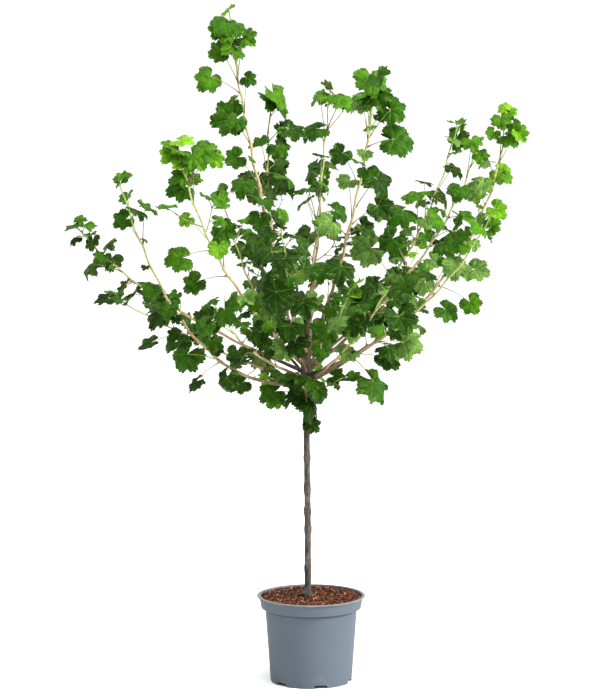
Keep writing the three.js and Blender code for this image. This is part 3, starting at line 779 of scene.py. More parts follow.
DARK_BOUGHS = ("left_low", "left_far", "back_tall", "back_left_low")
OLD_WOOD_BROWN = (66, 52, 43)
BOUGH_BROWN = (110, 96, 66)
BOUGH_DARK = (72, 56, 38)
BOUGH_PALE = (158, 147, 112)


def unit(vector):
    return vector / np.linalg.norm(vector)


class Line:
    """A shoot's line of straight spans, on which leaves are placed, and the limb that follows it."""

    def __init__(self, shoot, number):
        self.ends = stem_centre(shoot.root), np.array(shoot.elbow), np.array(shoot.tip)
        self.points = [bend(*self.ends, i / SPANS) for i in range(SPANS + 1)]
        self.reached = [0.0]
        for before, after in zip(self.points, self.points[1:]):
            self.reached.append(self.reached[-1] + float(np.linalg.norm(after - before)))
        self.length = self.reached[-1]
        self.girth = shoot.girth
        self.phase = SHOOT_PHASE * number

    def span(self, distance):
        """The number of the span at a distance, and the distance's share of that span."""
        i = 1
        while i < SPANS and self.reached[i] < distance:
            i += 1
        return i, (distance - self.reached[i - 1]) / (self.reached[i] - self.reached[i - 1])

    def straight(self, distance):
        """The point and the direction at a distance along the spans."""
        i, share = self.span(distance)
        way = self.points[i] - self.points[i - 1]
        return self.points[i - 1] + way * share, unit(way)

    def grown(self, distance):
        """The middle of the limb itself, which wanders a little from node to node."""
        i, share = self.span(distance)
        point = bend(*self.ends, (i - 1 + share) / SPANS)
        swing = distance / WANDER_LENGTH * 2 * math.pi + self.phase
        free = WANDER * min(1.0, distance / WANDER_START)
        aside = [math.sin(swing), math.cos(1.3 * swing), 0.4 * math.sin(0.7 * swing)]
        return point + free * np.array(aside)

    def radius(self, distance):
        return lerp(self.girth, TIP_RADIUS, (max(distance, 0) / self.length) ** SHOOT_TAPER)


class Heap:
    """Points, faces and material numbers of many small shapes that end up in one piece."""

    def __init__(self):
        self.points, self.faces, self.tones, self.count = [], [], [], 0

    def add(self, points, faces, tones):
        self.points.append(np.asarray(points))
        self.faces += [tuple(self.count + i for i in face) for face in faces]
        self.tones += tones
        self.count += len(points)

    def tube(self, centres, radii, sides, tones, rough=None):
        """A closed tube round a line of centres, with one material number for each span."""
        points = []
        across = np.array([0.1, 1, 0.3])
        for i, centre in enumerate(centres):
            before, after = centres[max(i - 1, 0)], centres[min(i + 1, len(centres) - 1)]
            along = unit(after - before)
            across = unit(across - along * across.dot(along))
            third = np.cross(along, across)
            for k in range(sides):
                turn = 2 * math.pi * k / sides
                out = across * math.cos(turn) + third * math.sin(turn)
                swell = 1 + rough(centre + out * radii[i]) if rough else 1
                points.append(centre + out * radii[i] * swell)
        numbers = [tones[i] for i in range(len(centres) - 1) for _ in range(sides)]
        last = (len(centres) - 1) * sides
        ends = [tuple(reversed(range(sides))), tuple(range(last, last + sides))]
        self.add(points, ring_faces(len(centres), sides) + ends, numbers + [tones[0], tones[-1]])

    def piece(self, name, materials):
        return piece(name, np.vstack(self.points), self.faces, materials, self.tones)


growths = SHOOTS + SPURS
lines = [Line(shoot, number) for number, shoot in enumerate(growths)]


def steps(start, end, step):
    """Even distances from start to end, as near to a step apart as they come."""
    return np.linspace(start, end, max(2, round((end - start) / step) + 1))


def bough_roughness(point):
    return BOUGH_ROUGHNESS * bark_relief(point, *BOUGH_FURROWS)


def make_boughs():
    heap = Heap()
    for shoot, line in zip(SHOOTS, lines):
        old = OLD_WOOD.get(shoot.name, 0)
        distances = steps(0, shoot.bare + BOUGH_OVERLAP, BOUGH_STEP)
        centres = [line.grown(d) for d in distances]
        radii = []
        for d in distances:
            thicker = COLLAR_GIRTH * math.exp(-d / COLLAR_LENGTH)
            if old:
                thicker += OLD_WOOD_GIRTH * (1 - smoothstep(d, *[old + end for end in OLD_WOOD_FADE]))
            radii.append(line.radius(d) * (1 + thicker))
        tones = [int(d < old or shoot.name in DARK_BOUGHS) for d in distances]
        heap.tube(centres, radii, BOUGH_SIDES, tones, bough_roughness)
    stretch = (1, 1, 0.6)
    paint = bark_paint("bough_bark", BOUGH_DARK, BOUGH_BROWN, BOUGH_PALE, stretch, 300, 0.8)
    old_paint = bark_paint("old_wood", STEM_DARK, OLD_WOOD_BROWN, BOUGH_BROWN, stretch, 300, 0.85)
    return heap.piece("boughs", [paint, old_paint])


boughs = make_boughs()
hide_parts(*[f"bough_{shoot.name}" for shoot in SHOOTS])
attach(boughs, "root")

# Where the leaves stand
# A long-stalked leaf grows at each node, often with a small one or a second large one beside
# it, and each shoot ends in a tuft. A leaf keeps clear of limbs and of other leaves.

FIRST_NODE = 0.014
SPACING_SHARE = 0.38
SPACING_SPREAD = (0.75, 1.25)
MAIN_TAPER = (1.06, 0.94)
MAIN_SPREAD = (0.76, 1.14)
MAIN_STALK = (0.45, 0.72)
MAIN_ANGLES = {"reach": (48, 72), "droop": (26, 84)}
SMALL_CHANCE = 0.3
SMALL_SHARE = 0.5
SMALL_SPREAD = (0.75, 1.3)
SMALL_STALK = 0.6
SMALL_TURN = 1.1
SMALL_ANGLES = {"reach": (30, 62), "droop": (-20, 60)}
SECOND_CHANCE = 0.2
SECOND_SPREAD = (0.65, 0.95)
SECOND_STALK = 0.7
SECOND_TURN = 2.6
SECOND_ANGLES = {"reach": (50, 78), "droop": (20, 80)}
TIP_LEAVES = 5
TIP_LEAF_SHARE = 0.68
TIP_TAPER = (1.2, 0.72)
TIP_SPREAD = (0.85, 1.15)
TIP_STALK = (0.5, 0.3)
TIP_ANGLES = {"reach": ((60, 15), (80, 32)), "droop": ((30, -55), (80, -10))}
TIP_SPACING = 0.009
TIP_END = 0.1
TURN = 137.5
TURN_SPREAD = 22
RETRY_TURN = 43
TRIES = 9
YAW = 32
ROLL = 30
LEAN = 26
STALK_RISE = 0.18
STALK_RADIUS = 0.00115
STALK_SHARES = (0.3, 0.5, 0.7, 0.9)
UPRIGHT_STALK = 0.2
BLADE_MIDDLE = 0.22
BLADE_CUP = 0.13
BLADE_SAG = 0.4
BLADE_RADIUS = 0.5
CLEARANCE = 0.0015
CLEARANCE_SHARE = 0.065
BLADE_MARGIN = 0.001
LEVEL_SLANT = 0.25
LIMB_SAMPLE = 0.007
RULE_SEED = 11
UP = np.array([0.0, 0, 1])
ASIDE = np.array([0.31, -0.87, 0.38])


def random_from(seed):
    """Random numbers from 0 to 1 that are the same each time."""
    state = seed
    for _ in range(5):
        state = (state * 1664525 + 1013904223) % 2**32
    while True:
        state = (state * 1664525 + 1013904223) % 2**32
        yield state / 2**32


def square_to(along, spin):
    """A direction square to a limb, at a turn round it."""
    side = unit(np.cross(ASIDE, along))
    return side * math.cos(spin) + np.cross(along, side) * math.sin(spin)


def blade_axes(heading, droop, roll):
    """A blade's forward direction and its normal, which leans towards the front."""
    level = np.array([math.cos(heading), math.sin(heading), 0])
    forward = level * math.cos(droop) - UP * math.sin(droop)
    normal = unit(UP - forward * forward[2])
    roll -= math.radians(LEAN) * np.cross(forward, normal)[1]
    return forward, normal * math.cos(roll) + np.cross(forward, normal) * math.sin(roll)


def stalk_points(root, base):
    """The places along a stalk that are kept clear of everything."""
    return np.array([root + (base - root) * share for share in STALK_SHARES])


def shape_leaf(wish, spin, reach, droop, yaw, roll):
    """A leaf whose stalk runs from root to base, and whose blade points forward from there."""
    root, width = wish["root"], wish["width"]
    out = square_to(wish["along"], spin)
    away = unit(out * math.sin(reach) + wish["along"] * math.cos(reach) + UP * STALK_RISE)
    base = root + away * wish["stalk"]
    level = away if math.hypot(away[0], away[1]) > UPRIGHT_STALK else out
    forward, normal = blade_axes(math.atan2(level[1], level[0]) + yaw, droop, roll)
    middle = base + forward * width * BLADE_MIDDLE - normal * BLADE_SAG * width * BLADE_CUP
    return {
        **wish, "spin": spin, "base": base, "forward": forward, "normal": normal, "middle": middle,
        "stalk_points": stalk_points(root, base), "radius": width * BLADE_RADIUS,
    }


def near_blade(leaf, points, radii):
    """Whether any of the points is too near to the leaf's own blade."""
    offset = points - leaf["middle"]
    above = offset @ leaf["normal"]
    flat = np.linalg.norm(offset - above[:, None] * leaf["normal"], axis=1)
    level = np.abs(above) <= CLEARANCE + CLEARANCE_SHARE * leaf["width"] + radii
    return bool((level & (flat < leaf["radius"] + radii + BLADE_MARGIN)).any())


class Crown:
    """The limbs and the leaves so far, as arrays, so that a leaf is tested against all at once."""

    def __init__(self):
        points, radii, owners = [], [], []
        for z in np.arange(STEM_FOOT[2], STEM_TOP, LIMB_SAMPLE):
            points.append(stem_centre(z))
            radii.append(stem_radius(z))
            owners.append(-1)
        for number, line in enumerate(lines):
            for distance in np.arange(0, line.length, LIMB_SAMPLE):
                points.append(line.straight(distance)[0])
                radii.append(line.radius(distance))
                owners.append(number)
        self.limbs, self.limb_radii = np.array(points), np.array(radii)
        self.owners = np.array(owners)
        self.leaves = []
        self.middle, self.normal = np.zeros((0, 3)), np.zeros((0, 3))
        self.width, self.radius, self.stalks = np.zeros(0), np.zeros(0), np.zeros((0, 4, 3))

    def add(self, leaf):
        self.leaves.append(leaf)
        self.middle = np.vstack([self.middle, leaf["middle"]])
        self.normal = np.vstack([self.normal, leaf["normal"]])
        self.width = np.append(self.width, leaf["width"])
        self.radius = np.append(self.radius, leaf["radius"])
        self.stalks = np.concatenate([self.stalks, leaf["stalk_points"][None]])

    def near_blades(self, points, radius):
        """Whether any of the points is too near to a blade that is there already."""
        offset = points[None] - self.middle[:, None]
        above = (offset * self.normal[:, None]).sum(2)
        flat = np.linalg.norm(offset - above[..., None] * self.normal[:, None], axis=2)
        level = np.abs(above) <= CLEARANCE + CLEARANCE_SHARE * self.width[:, None] + radius
        return bool((level & (flat < self.radius[:, None] + radius + BLADE_MARGIN)).any())

    def has_room(self, leaf):
        """Whether a leaf's blade and stalk are clear of all limbs, stalks and blades."""
        if near_blade(leaf, self.limbs, self.limb_radii):
            return False
        others = self.owners != leaf["shoot"]
        gaps = np.linalg.norm(leaf["stalk_points"][:, None] - self.limbs[others][None], axis=2)
        if (gaps < self.limb_radii[others] + 2 * CLEARANCE).any():
            return False
        if not self.leaves:
            return True
        if self.near_blades(leaf["stalk_points"], STALK_RADIUS):
            return False
        stalks = self.stalks.reshape(-1, 3)
        return not (near_blade(leaf, stalks, STALK_RADIUS) or self.blades_meet(leaf))

    def blades_meet(self, leaf):
        """Two blades cross where their planes meet, if both reach the same stretch of that line."""
        offset = self.middle - leaf["middle"]
        close = np.linalg.norm(offset, axis=1) <= leaf["radius"] + self.radius + CLEARANCE
        if not close.any():
            return False
        offset, normal, radius = offset[close], self.normal[close], self.radius[close]
        margin = CLEARANCE + CLEARANCE_SHARE * np.maximum(leaf["width"], self.width[close])
        line = np.cross(leaf["normal"], normal)
        slant = np.linalg.norm(line, axis=1)
        level = slant < LEVEL_SLANT
        if (level & (np.abs(offset @ leaf["normal"]) < margin)).any():
            return True
        line = line / np.maximum(slant, 1e-9)[:, None]
        inward = np.cross(line, leaf["normal"])
        slope = (inward * normal).sum(1)
        away = (offset * normal).sum(1) / np.where(level, 1, slope)
        rest = inward * away[:, None] - offset
        along = (rest * line).sum(1)
        other = np.linalg.norm(rest - line * along[:, None], axis=1)
        reach, other_reach = leaf["radius"] + margin / 2, radius + margin / 2
        both = ~level & (np.abs(away) <= reach) & (other <= other_reach)
        stretch = np.sqrt(np.maximum(reach**2 - away**2, 0))
        other_stretch = np.sqrt(np.maximum(other_reach**2 - other**2, 0))
        return bool((both & (np.abs(along) < stretch + other_stretch)).any())

    def try_leaf(self, wish, draw, tries=TRIES, unwanted=None):
        """Turns a leaf further round its twig at each try, and leaves it out if none has room."""
        for i in range(tries):
            reach, droop = (math.radians(lerp(*wish[name], next(draw))) for name in ("reach", "droop"))
            yaw, roll = (math.radians(lerp(-most, most, next(draw))) for most in (YAW, ROLL))
            spin = wish["spin"] + i * math.radians(RETRY_TURN)
            leaf = shape_leaf(wish, spin, reach, droop, yaw, roll)
            if self.has_room(leaf) and not (unwanted and unwanted(leaf)):
                self.add(leaf)
                return


def wish_at(number, distance, **wish):
    """What is wished of a leaf that grows out of a shoot at a distance along it. Its age is 0 at
    the foot of the leafy part and 1 at the tip, and more in the tuft."""
    root, along = lines[number].straight(distance)
    return {"shoot": number, "distance": distance, "root": root, "along": along, **wish}


def dress_shoot(crown, number):
    """The leaves of one shoot: at its nodes, and then close together at its tip."""
    shoot, line = growths[number], lines[number]
    draw = random_from(number + RULE_SEED)
    leafy = line.length - shoot.bare
    spin = 2 * math.pi * next(draw)
    travelled = FIRST_NODE
    while travelled < leafy - TIP_LEAVES * TIP_SPACING:
        share = travelled / leafy
        width = shoot.leaf * lerp(*MAIN_TAPER, share) * lerp(*MAIN_SPREAD, next(draw))
        stalk = width * lerp(*MAIN_STALK, next(draw))
        main = wish_at(number, shoot.bare + travelled, age=share, **MAIN_ANGLES)
        crown.try_leaf({**main, "spin": spin, "width": width, "stalk": stalk}, draw)
        if next(draw) < shoot.full * SMALL_CHANCE:
            small = shoot.leaf * SMALL_SHARE * lerp(*SMALL_SPREAD, next(draw))
            size = {"spin": spin + SMALL_TURN, "width": small, "stalk": SMALL_STALK * small}
            crown.try_leaf({**main, **SMALL_ANGLES, **size}, draw)
        if next(draw) < shoot.full * SECOND_CHANCE:
            second = width * lerp(*SECOND_SPREAD, next(draw))
            size = {"spin": spin + SECOND_TURN, "width": second, "stalk": SECOND_STALK * second}
            crown.try_leaf({**main, **SECOND_ANGLES, **size}, draw)
        spin += math.radians(TURN + lerp(-TURN_SPREAD, TURN_SPREAD, next(draw)))
        travelled += shoot.leaf * SPACING_SHARE * lerp(*SPACING_SPREAD, next(draw)) / shoot.full
    for i in range(TIP_LEAVES):
        near = i / (TIP_LEAVES - 1)
        distance = line.length - (TIP_LEAVES - 1 + TIP_END - i) * TIP_SPACING
        width = shoot.leaf * TIP_LEAF_SHARE * lerp(*TIP_TAPER, near) * lerp(*TIP_SPREAD, next(draw))
        tip = wish_at(number, distance, spin=spin, width=width, age=1 + near)
        tip["stalk"] = width * lerp(*TIP_STALK, near)
        for name, ends in TIP_ANGLES.items():
            tip[name] = [lerp(first, last, near) for first, last in ends]
        crown.try_leaf(tip, draw)
        spin += math.radians(TURN)


crown = Crown()
for number in range(len(growths)):
    dress_shoot(crown, number)

# Open sky
# Places where the real crown lets the sky through from the front, as circles on the upright
# plane through the stem. The leaves that the rule sets before or behind them are taken off.

OPEN_SKY = [
    (-0.118, 1.265, 0.022), (-0.225, 1.3, 0.03), (-0.155, 1.105, 0.024), (-0.1, 1.155, 0.014),
    (-0.03, 0.98, 0.034), (0.022, 1.18, 0.018), (0.02, 1.09, 0.012), (0.098, 1.17, 0.012),
    (0.065, 1.015, 0.018), (0.115, 0.975, 0.016), (0.18, 1.155, 0.016), (0.22, 1.08, 0.03),
    (-0.26, 0.995, 0.022), (-0.235, 0.945, 0.024), (-0.32, 0.87, 0.014), (-0.385, 0.745, 0.024),
    (-0.25, 0.86, 0.026), (-0.245, 0.79, 0.024), (-0.165, 0.715, 0.018), (-0.22, 0.655, 0.024),
    (-0.135, 0.605, 0.018), (-0.09, 0.56, 0.03), (0.07, 0.605, 0.03), (0.115, 0.685, 0.018),
    (0.35, 0.875, 0.02), (0.265, 1.055, 0.02), (0.41, 1.1, 0.02), (0.14, 0.855, 0.012),
    (0.26, 0.71, 0.02), (0.4, 0.945, 0.016), (-0.105, 1.065, 0.01), (-0.13, 1.3, 0.014),
    (-0.3, 0.93, 0.014), (0.192, 1.215, 0.018), (0.152, 1.092, 0.016), (-0.325, 1.06, 0.018),
    (-0.415, 1, 0.01), (-0.36, 1.04, 0.01), (-0.355, 0.885, 0.018), (-0.375, 0.94, 0.016),
    (-0.165, 0.975, 0.012), (-0.185, 0.8, 0.018), (-0.15, 0.842, 0.012), (-0.105, 1.31, 0.016),
    (-0.174, 1.242, 0.012), (0.257, 0.752, 0.02), (0.03, 0.81, 0.01), (0.222, 0.895, 0.018),
    (-0.065, 0.965, 0.01), (0.055, 1.15, 0.01), (0.095, 1.115, 0.01), (0.285, 0.815, 0.014),
    (0.16, 0.775, 0.008), (0.02, 0.9, 0.01), (0.1, 0.66, 0.008),
]
SKY_SHARE = 0.34
EYE = np.array(CAMERA_PLACE)


def seen(point):
    """Where a point appears, from the camera's place, on the upright plane through the stem."""
    share = EYE[1] / (EYE[1] - point[1])
    return (EYE + (point - EYE) * share)[[0, 2]]


def in_open_sky(leaf):
    place, reach = seen(leaf["middle"]), SKY_SHARE * leaf["width"]
    return any(math.dist(place, (x, z)) < size + reach for x, z, size in OPEN_SKY)


rule_leaves = crown.leaves
crown = Crown()
for leaf in rule_leaves:
    if not in_open_sky(leaf):
        crown.add(leaf)

# Leaves that stand out
# Single leaves on long stalks at the crown's edge, where they show against the sky, and in
# front of the shoots' tips. Each row has the shoot, where the blade's middle is seen, and its width.

EDGE_LEAVES = [
    ("leader", -0.183, 1.351, 0.058), ("leader", -0.214, 1.241, 0.062), ("leader", -0.178, 1.163, 0.082),
    ("back_left_tall", -0.07, 1.206, 0.07), ("back_left_tall", -0.03, 1.141, 0.075),
    ("back_left_tall", -0.045, 1.036, 0.09), ("back_tall", 0.012, 1.203, 0.05),
    ("back_tall", 0.075, 1.203, 0.07), ("front_right_tall", 0.123, 1.237, 0.076),
    ("front_right_tall", 0.172, 1.176, 0.06), ("front_right_tall", 0.187, 1.121, 0.08),
    ("front_right_tall", 0.145, 1.031, 0.078), ("right_back", 0.208, 1.006, 0.065),
    ("right_back", 0.175, 0.969, 0.078), ("right_middle", 0.105, 0.896, 0.08),
    ("right_middle", 0.33, 1.116, 0.05), ("right_far", 0.385, 1.161, 0.045),
    ("right_far", 0.408, 1.126, 0.05), ("right_far", 0.395, 1.051, 0.05),
    ("right_far", 0.385, 0.976, 0.05), ("right_far", 0.285, 0.768, 0.058),
    ("right_far", 0.332, 0.782, 0.05), ("right_front", 0.205, 0.703, 0.07),
    ("right_front", 0.14, 0.61, 0.088), ("left_middle", -0.265, 0.67, 0.075),
    ("left_middle", -0.245, 0.62, 0.05), ("left_low", -0.34, 0.703, 0.055),
    ("left_far", -0.43, 0.798, 0.055), ("left_far", -0.46, 0.86, 0.06),
    ("left_far", -0.49, 0.941, 0.045), ("left_middle", -0.39, 0.956, 0.05),
    ("left_middle", -0.33, 0.981, 0.055), ("left_front", -0.28, 0.879, 0.062),
    ("left_front", -0.245, 0.825, 0.055), ("left_front", -0.275, 1.023, 0.062),
    ("left_front", -0.215, 1.094, 0.07), ("left_front", -0.29, 1.088, 0.055),
    ("back_left_tall", -0.187, 1.006, 0.06), ("front", 0.006, 0.533, 0.042),
    ("front", -0.021, 0.605, 0.088), ("left", -0.088, 0.6, 0.062), ("right", 0.055, 0.636, 0.045),
    ("leader", -0.125, 1.246, 0.042), ("leader", -0.166, 1.309, 0.062), ("leader", -0.16, 1.083, 0.05),
    ("back_tall", -0.02, 1.021, 0.068), ("back_tall", 0.025, 1.089, 0.045),
    ("front_right_tall", 0.07, 1.034, 0.05), ("right_far", 0.428, 1.131, 0.04),
    ("right_far", 0.348, 0.855, 0.055), ("right_middle", 0.155, 0.911, 0.07),
    ("left_front", -0.26, 0.958, 0.036), ("left_far", -0.37, 0.798, 0.06),
    ("right_back", 0.235, 1.036, 0.04), ("leader", -0.15, 1.351, 0.06), ("leader", -0.13, 1.326, 0.056),
    ("leader", -0.175, 1.336, 0.05), ("front_right_tall", 0.135, 1.206, 0.07),
    ("front_right_tall", 0.105, 1.216, 0.06), ("left_front", -0.265, 1.081, 0.06),
    ("left_front", -0.24, 1.066, 0.055), ("left_front", -0.27, 1.046, 0.05),
    ("back_left_tall", -0.112, 1.112, 0.055), ("back_tall", -0.018, 0.995, 0.052),
    ("front_right_tall", 0.147, 0.978, 0.062), ("right_front", 0.162, 0.667, 0.062),
    ("right_back", 0.297, 1.06, 0.052), ("front_right_tall", 0.095, 1.195, 0.045),
    ("front_right_tall", 0.055, 1.088, 0.05), ("leader", -0.193, 1.298, 0.05),
    ("left_low", -0.152, 0.619, 0.052), ("left", -0.08, 0.585, 0.045), ("right_far", 0.288, 0.87, 0.05),
    ("left_front", -0.168, 0.935, 0.05), ("left_front", -0.192, 1.08, 0.042),
]
EDGE_FROM = 0.7
EDGE_STEP = 0.006
EDGE_STALK = 0.075
EDGE_UPWARD = 0.02
EDGE_DEPTH = 0.02
EDGE_SWING = 0.3
EDGE_DROOP = (8, 58)
EDGE_AGE = 0.3
EDGE_TUFT = 0.07
EDGE_TUFT_FORWARD = 0.024
EDGE_TUFT_AGE = 1.3
EDGE_SEED = 501


def edge_root(shoot, line, place):
    """The distance along a shoot from which a stalk of the usual length best reaches a place."""
    choices = []
    for distance in steps(EDGE_FROM * shoot.bare, line.length - TIP_SPACING, EDGE_STEP):
        root, along = line.straight(distance)
        away = place - seen(root)
        onward = (away / max(np.linalg.norm(away), 1e-6)).dot(seen(root + along) - seen(root))
        choices.append((abs(np.linalg.norm(away) - EDGE_STALK) - EDGE_UPWARD * onward, distance))
    return min(choices)[1]


def leafy_share(shoot, line, distance):
    """How far a place is along the leafy part of its shoot, from 0 to 1 at the tip."""
    return (distance - shoot.bare) / (line.length - shoot.bare)


def add_edge_leaf(crown, name, x, z, width, draw):
    """One such leaf. Near the tip of its shoot it is a bright one of the tuft, in front of the tip."""
    number = [growth.name for growth in growths].index(name)
    shoot, line = growths[number], lines[number]
    distance = edge_root(shoot, line, np.array([x, z]))
    root, along = line.straight(distance)
    in_tuft = math.dist((x, z), seen(line.points[-1])) < EDGE_TUFT
    depth = root[1] - EDGE_TUFT_FORWARD * in_tuft + EDGE_DEPTH * (next(draw) - 0.5)
    on_plane = np.array([x, 0, z])
    middle = EYE + (on_plane - EYE) * (depth - EYE[1]) / -EYE[1]
    level = middle - root
    heading = math.atan2(level[1] + EDGE_SWING * (next(draw) - 0.5) * width, level[0])
    droop = math.radians(lerp(*EDGE_DROOP, next(draw)))
    forward, normal = blade_axes(heading, droop, math.radians(lerp(-ROLL, ROLL, next(draw))))
    base = middle - forward * width * BLADE_MIDDLE
    age = max(EDGE_AGE, leafy_share(shoot, line, distance))
    crown.add({
        "shoot": number, "root": root, "along": along, "width": width, "distance": distance,
        "age": EDGE_TUFT_AGE if in_tuft else age, "stalk": float(np.linalg.norm(base - root)),
        "base": base, "forward": forward, "normal": normal, "middle": middle,
        "stalk_points": stalk_points(root, base), "radius": width * BLADE_RADIUS, "single": True,
    })


draw = random_from(EDGE_SEED)
for row in EDGE_LEAVES:
    add_edge_leaf(crown, *row, draw)

# Young wood
# The smooth shoots above the bare boughs, brown turning green towards their tips and swollen at
# each node. Short side twigs grow out of them, and small leaves on the twigs and at the tips.

TWIGS_IN_A_METRE = {"leader": 7, "left": 7, "right": 7, "front": 18, "back": 18}
TWIG_LENGTH = (0.022, 0.055)
TWIG_ANGLE = (42, 68)
TWIG_GIRTH = 0.0011
TWIG_TAPER = (1.3, 0.8)
TWIG_BEND = 0.16
TWIG_POINTS = 5
TWIG_SIDES = 6
TWIG_TRIES = 5
TWIG_LEAVES = 3
TWIG_LEAF = (0.44, 0.72)
TWIG_LEAF_TURN = 2.2
TWIG_LEAF_STALK = 0.5
TWIG_SIDE_ANGLES = {"reach": (45, 75), "droop": (0, 70)}
TWIG_TIP_ANGLES = {"reach": (20, 60), "droop": (0, 70)}
TWIG_TONES = [(150, 140, 88), (142, 160, 84)]
TWIG_SEED = 301
TUFT_LEAVES = 6
TUFT_LENGTH = 0.03
TUFT_LEAF = (0.3, 0.6)
TUFT_STALK = 0.4
TUFT_AGE = (1.3, 0.7)
TUFT_ANGLES = {"reach": (10, 60), "droop": (-60, 30)}
SHOOT_SIDES = 8
SHOOT_STEP = 0.006
NODE_SWELLING = 0.32
NODE_LENGTH = 0.004
SHORTEST_SPAN = 0.0001
SHOOT_TONES = [
    (0.16, (146, 120, 82)),
    (0.34, (168, 142, 98)),
    (0.56, (172, 158, 106)),
    (0.8, (160, 168, 98)),
    (1.0, (142, 176, 74)),
]
twigs = []


def side_of(shoot):
    """The side of the crown on which a shoot stands: the first word of its name."""
    return shoot.name.split("_")[0]


def grow_twig(crown, number, draw):
    """One twig, kept where it is clear of the blades and where one of its leaves has room."""
    shoot, line = growths[number], lines[number]
    distance = lerp(shoot.bare, line.length - TIP_LEAVES * TIP_SPACING, next(draw))
    root, along = line.straight(distance)
    spin, angle = 2 * math.pi * next(draw), math.radians(lerp(*TWIG_ANGLE, next(draw)))
    out = square_to(along, spin)
    way = unit(out * math.sin(angle) + along * math.cos(angle) + UP * STALK_RISE)
    length = lerp(*TWIG_LENGTH, next(draw))
    shares = np.linspace(0, 1, TWIG_POINTS)
    points = [root + way * length * s + UP * TWIG_BEND * length * s * s for s in shares]
    if crown.near_blades(np.array(points[1:]), TWIG_GIRTH):
        return
    before = len(crown.leaves)
    for i in range(TWIG_LEAVES):
        at_tip = i > 0
        width = shoot.leaf * lerp(*TWIG_LEAF, next(draw))
        wish = wish_at(number, distance, spin=spin + i * TWIG_LEAF_TURN, width=width, twig=True)
        wish |= {"root": points[-1 if at_tip else 2], "along": unit(points[-1] - points[-2])}
        wish |= {"age": leafy_share(shoot, line, distance), "stalk": TWIG_LEAF_STALK * width}
        wish |= TWIG_TIP_ANGLES if at_tip else TWIG_SIDE_ANGLES
        crown.try_leaf(wish, draw, TWIG_TRIES, in_open_sky)
    if len(crown.leaves) > before:
        twigs.append([line.grown(distance)] + points[1:])


def fill_tuft(crown, number, draw):
    """Small bright leaves still unfolding round the tip of a shoot."""
    shoot, line = growths[number], lines[number]
    for i in range(TUFT_LEAVES):
        distance = line.length - TUFT_LENGTH * next(draw)
        width = shoot.leaf * lerp(*TUFT_LEAF, next(draw))
        wish = wish_at(number, distance, spin=i * math.radians(TURN), width=width, **TUFT_ANGLES)
        wish |= {"age": TUFT_AGE[0] + TUFT_AGE[1] * next(draw), "stalk": TUFT_STALK * width}
        crown.try_leaf(wish, draw)


for number, (shoot, line) in enumerate(zip(growths, lines)):
    draw = random_from(number + TWIG_SEED)
    for _ in range(round((line.length - shoot.bare) * TWIGS_IN_A_METRE[side_of(shoot)])):
        grow_twig(crown, number, draw)
    fill_tuft(crown, number, draw)


def skin_paint(name, tone):
    """Young bark or a stalk's skin: smooth and faintly streaked, with small pale dots."""
    paint = Paint(name)
    streaks = paint.clouds(paint.place((1, 1, 0.35)), 380)
    dots = paint.between(paint.clouds(paint.place(), 620, 1), 0.64, 0.7)
    colour = paint.mix(paint.between(streaks, 0.35, 0.6), shaded(tone, 0.6), linear(tone))
    colour = paint.mix(dots * 0.4, colour, linear(BOUGH_PALE))
    return paint.finish(Base_Color=colour, Roughness=0.6, Normal=paint.relief(streaks, 0.0004))


def shoot_distances(shoot, line, joints):
    """The distances at which a shoot has rings of points: even ones, and three at each node."""
    start = max(0, shoot.bare - BOUGH_OVERLAP)
    even = steps(start, line.length, SHOOT_STEP)
    beside = [joint + shift for joint in joints for shift in (-NODE_LENGTH, 0, NODE_LENGTH)]
    every = sorted({d for d in [*even, *beside] if start <= d <= line.length})
    return [d for i, d in enumerate(every) if i == 0 or d - every[i - 1] > SHORTEST_SPAN]


def make_shoots():
    heap = Heap()
    for number, (shoot, line) in enumerate(zip(growths, lines)):
        own = [leaf for leaf in crown.leaves if leaf["shoot"] == number and "twig" not in leaf]
        joints = {leaf["distance"] for leaf in own}
        distances = shoot_distances(shoot, line, joints)
        radii, tones = [], []
        for d in distances:
            swellings = (math.exp(-(((d - joint) / NODE_LENGTH) ** 2)) for joint in joints)
            radii.append(line.radius(d) * (1 + NODE_SWELLING * max(swellings, default=0)))
            tones.append(sum(leafy_share(shoot, line, d) > limit for limit, _ in SHOOT_TONES[:-1]))
        heap.tube([line.grown(d) for d in distances], radii, SHOOT_SIDES, tones)
    for points in twigs:
        radii = [TWIG_GIRTH * lerp(*TWIG_TAPER, i / (len(points) - 1)) for i in range(len(points))]
        heap.tube(points, radii, TWIG_SIDES, [len(SHOOT_TONES) + (i > 1) for i in range(len(points))])
    tones = [tone for _, tone in SHOOT_TONES] + TWIG_TONES
    return heap.piece("shoots", [skin_paint(f"shoot_bark_{i}", tone) for i, tone in enumerate(tones)])


shoots = make_shoots()
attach(shoots, "root")
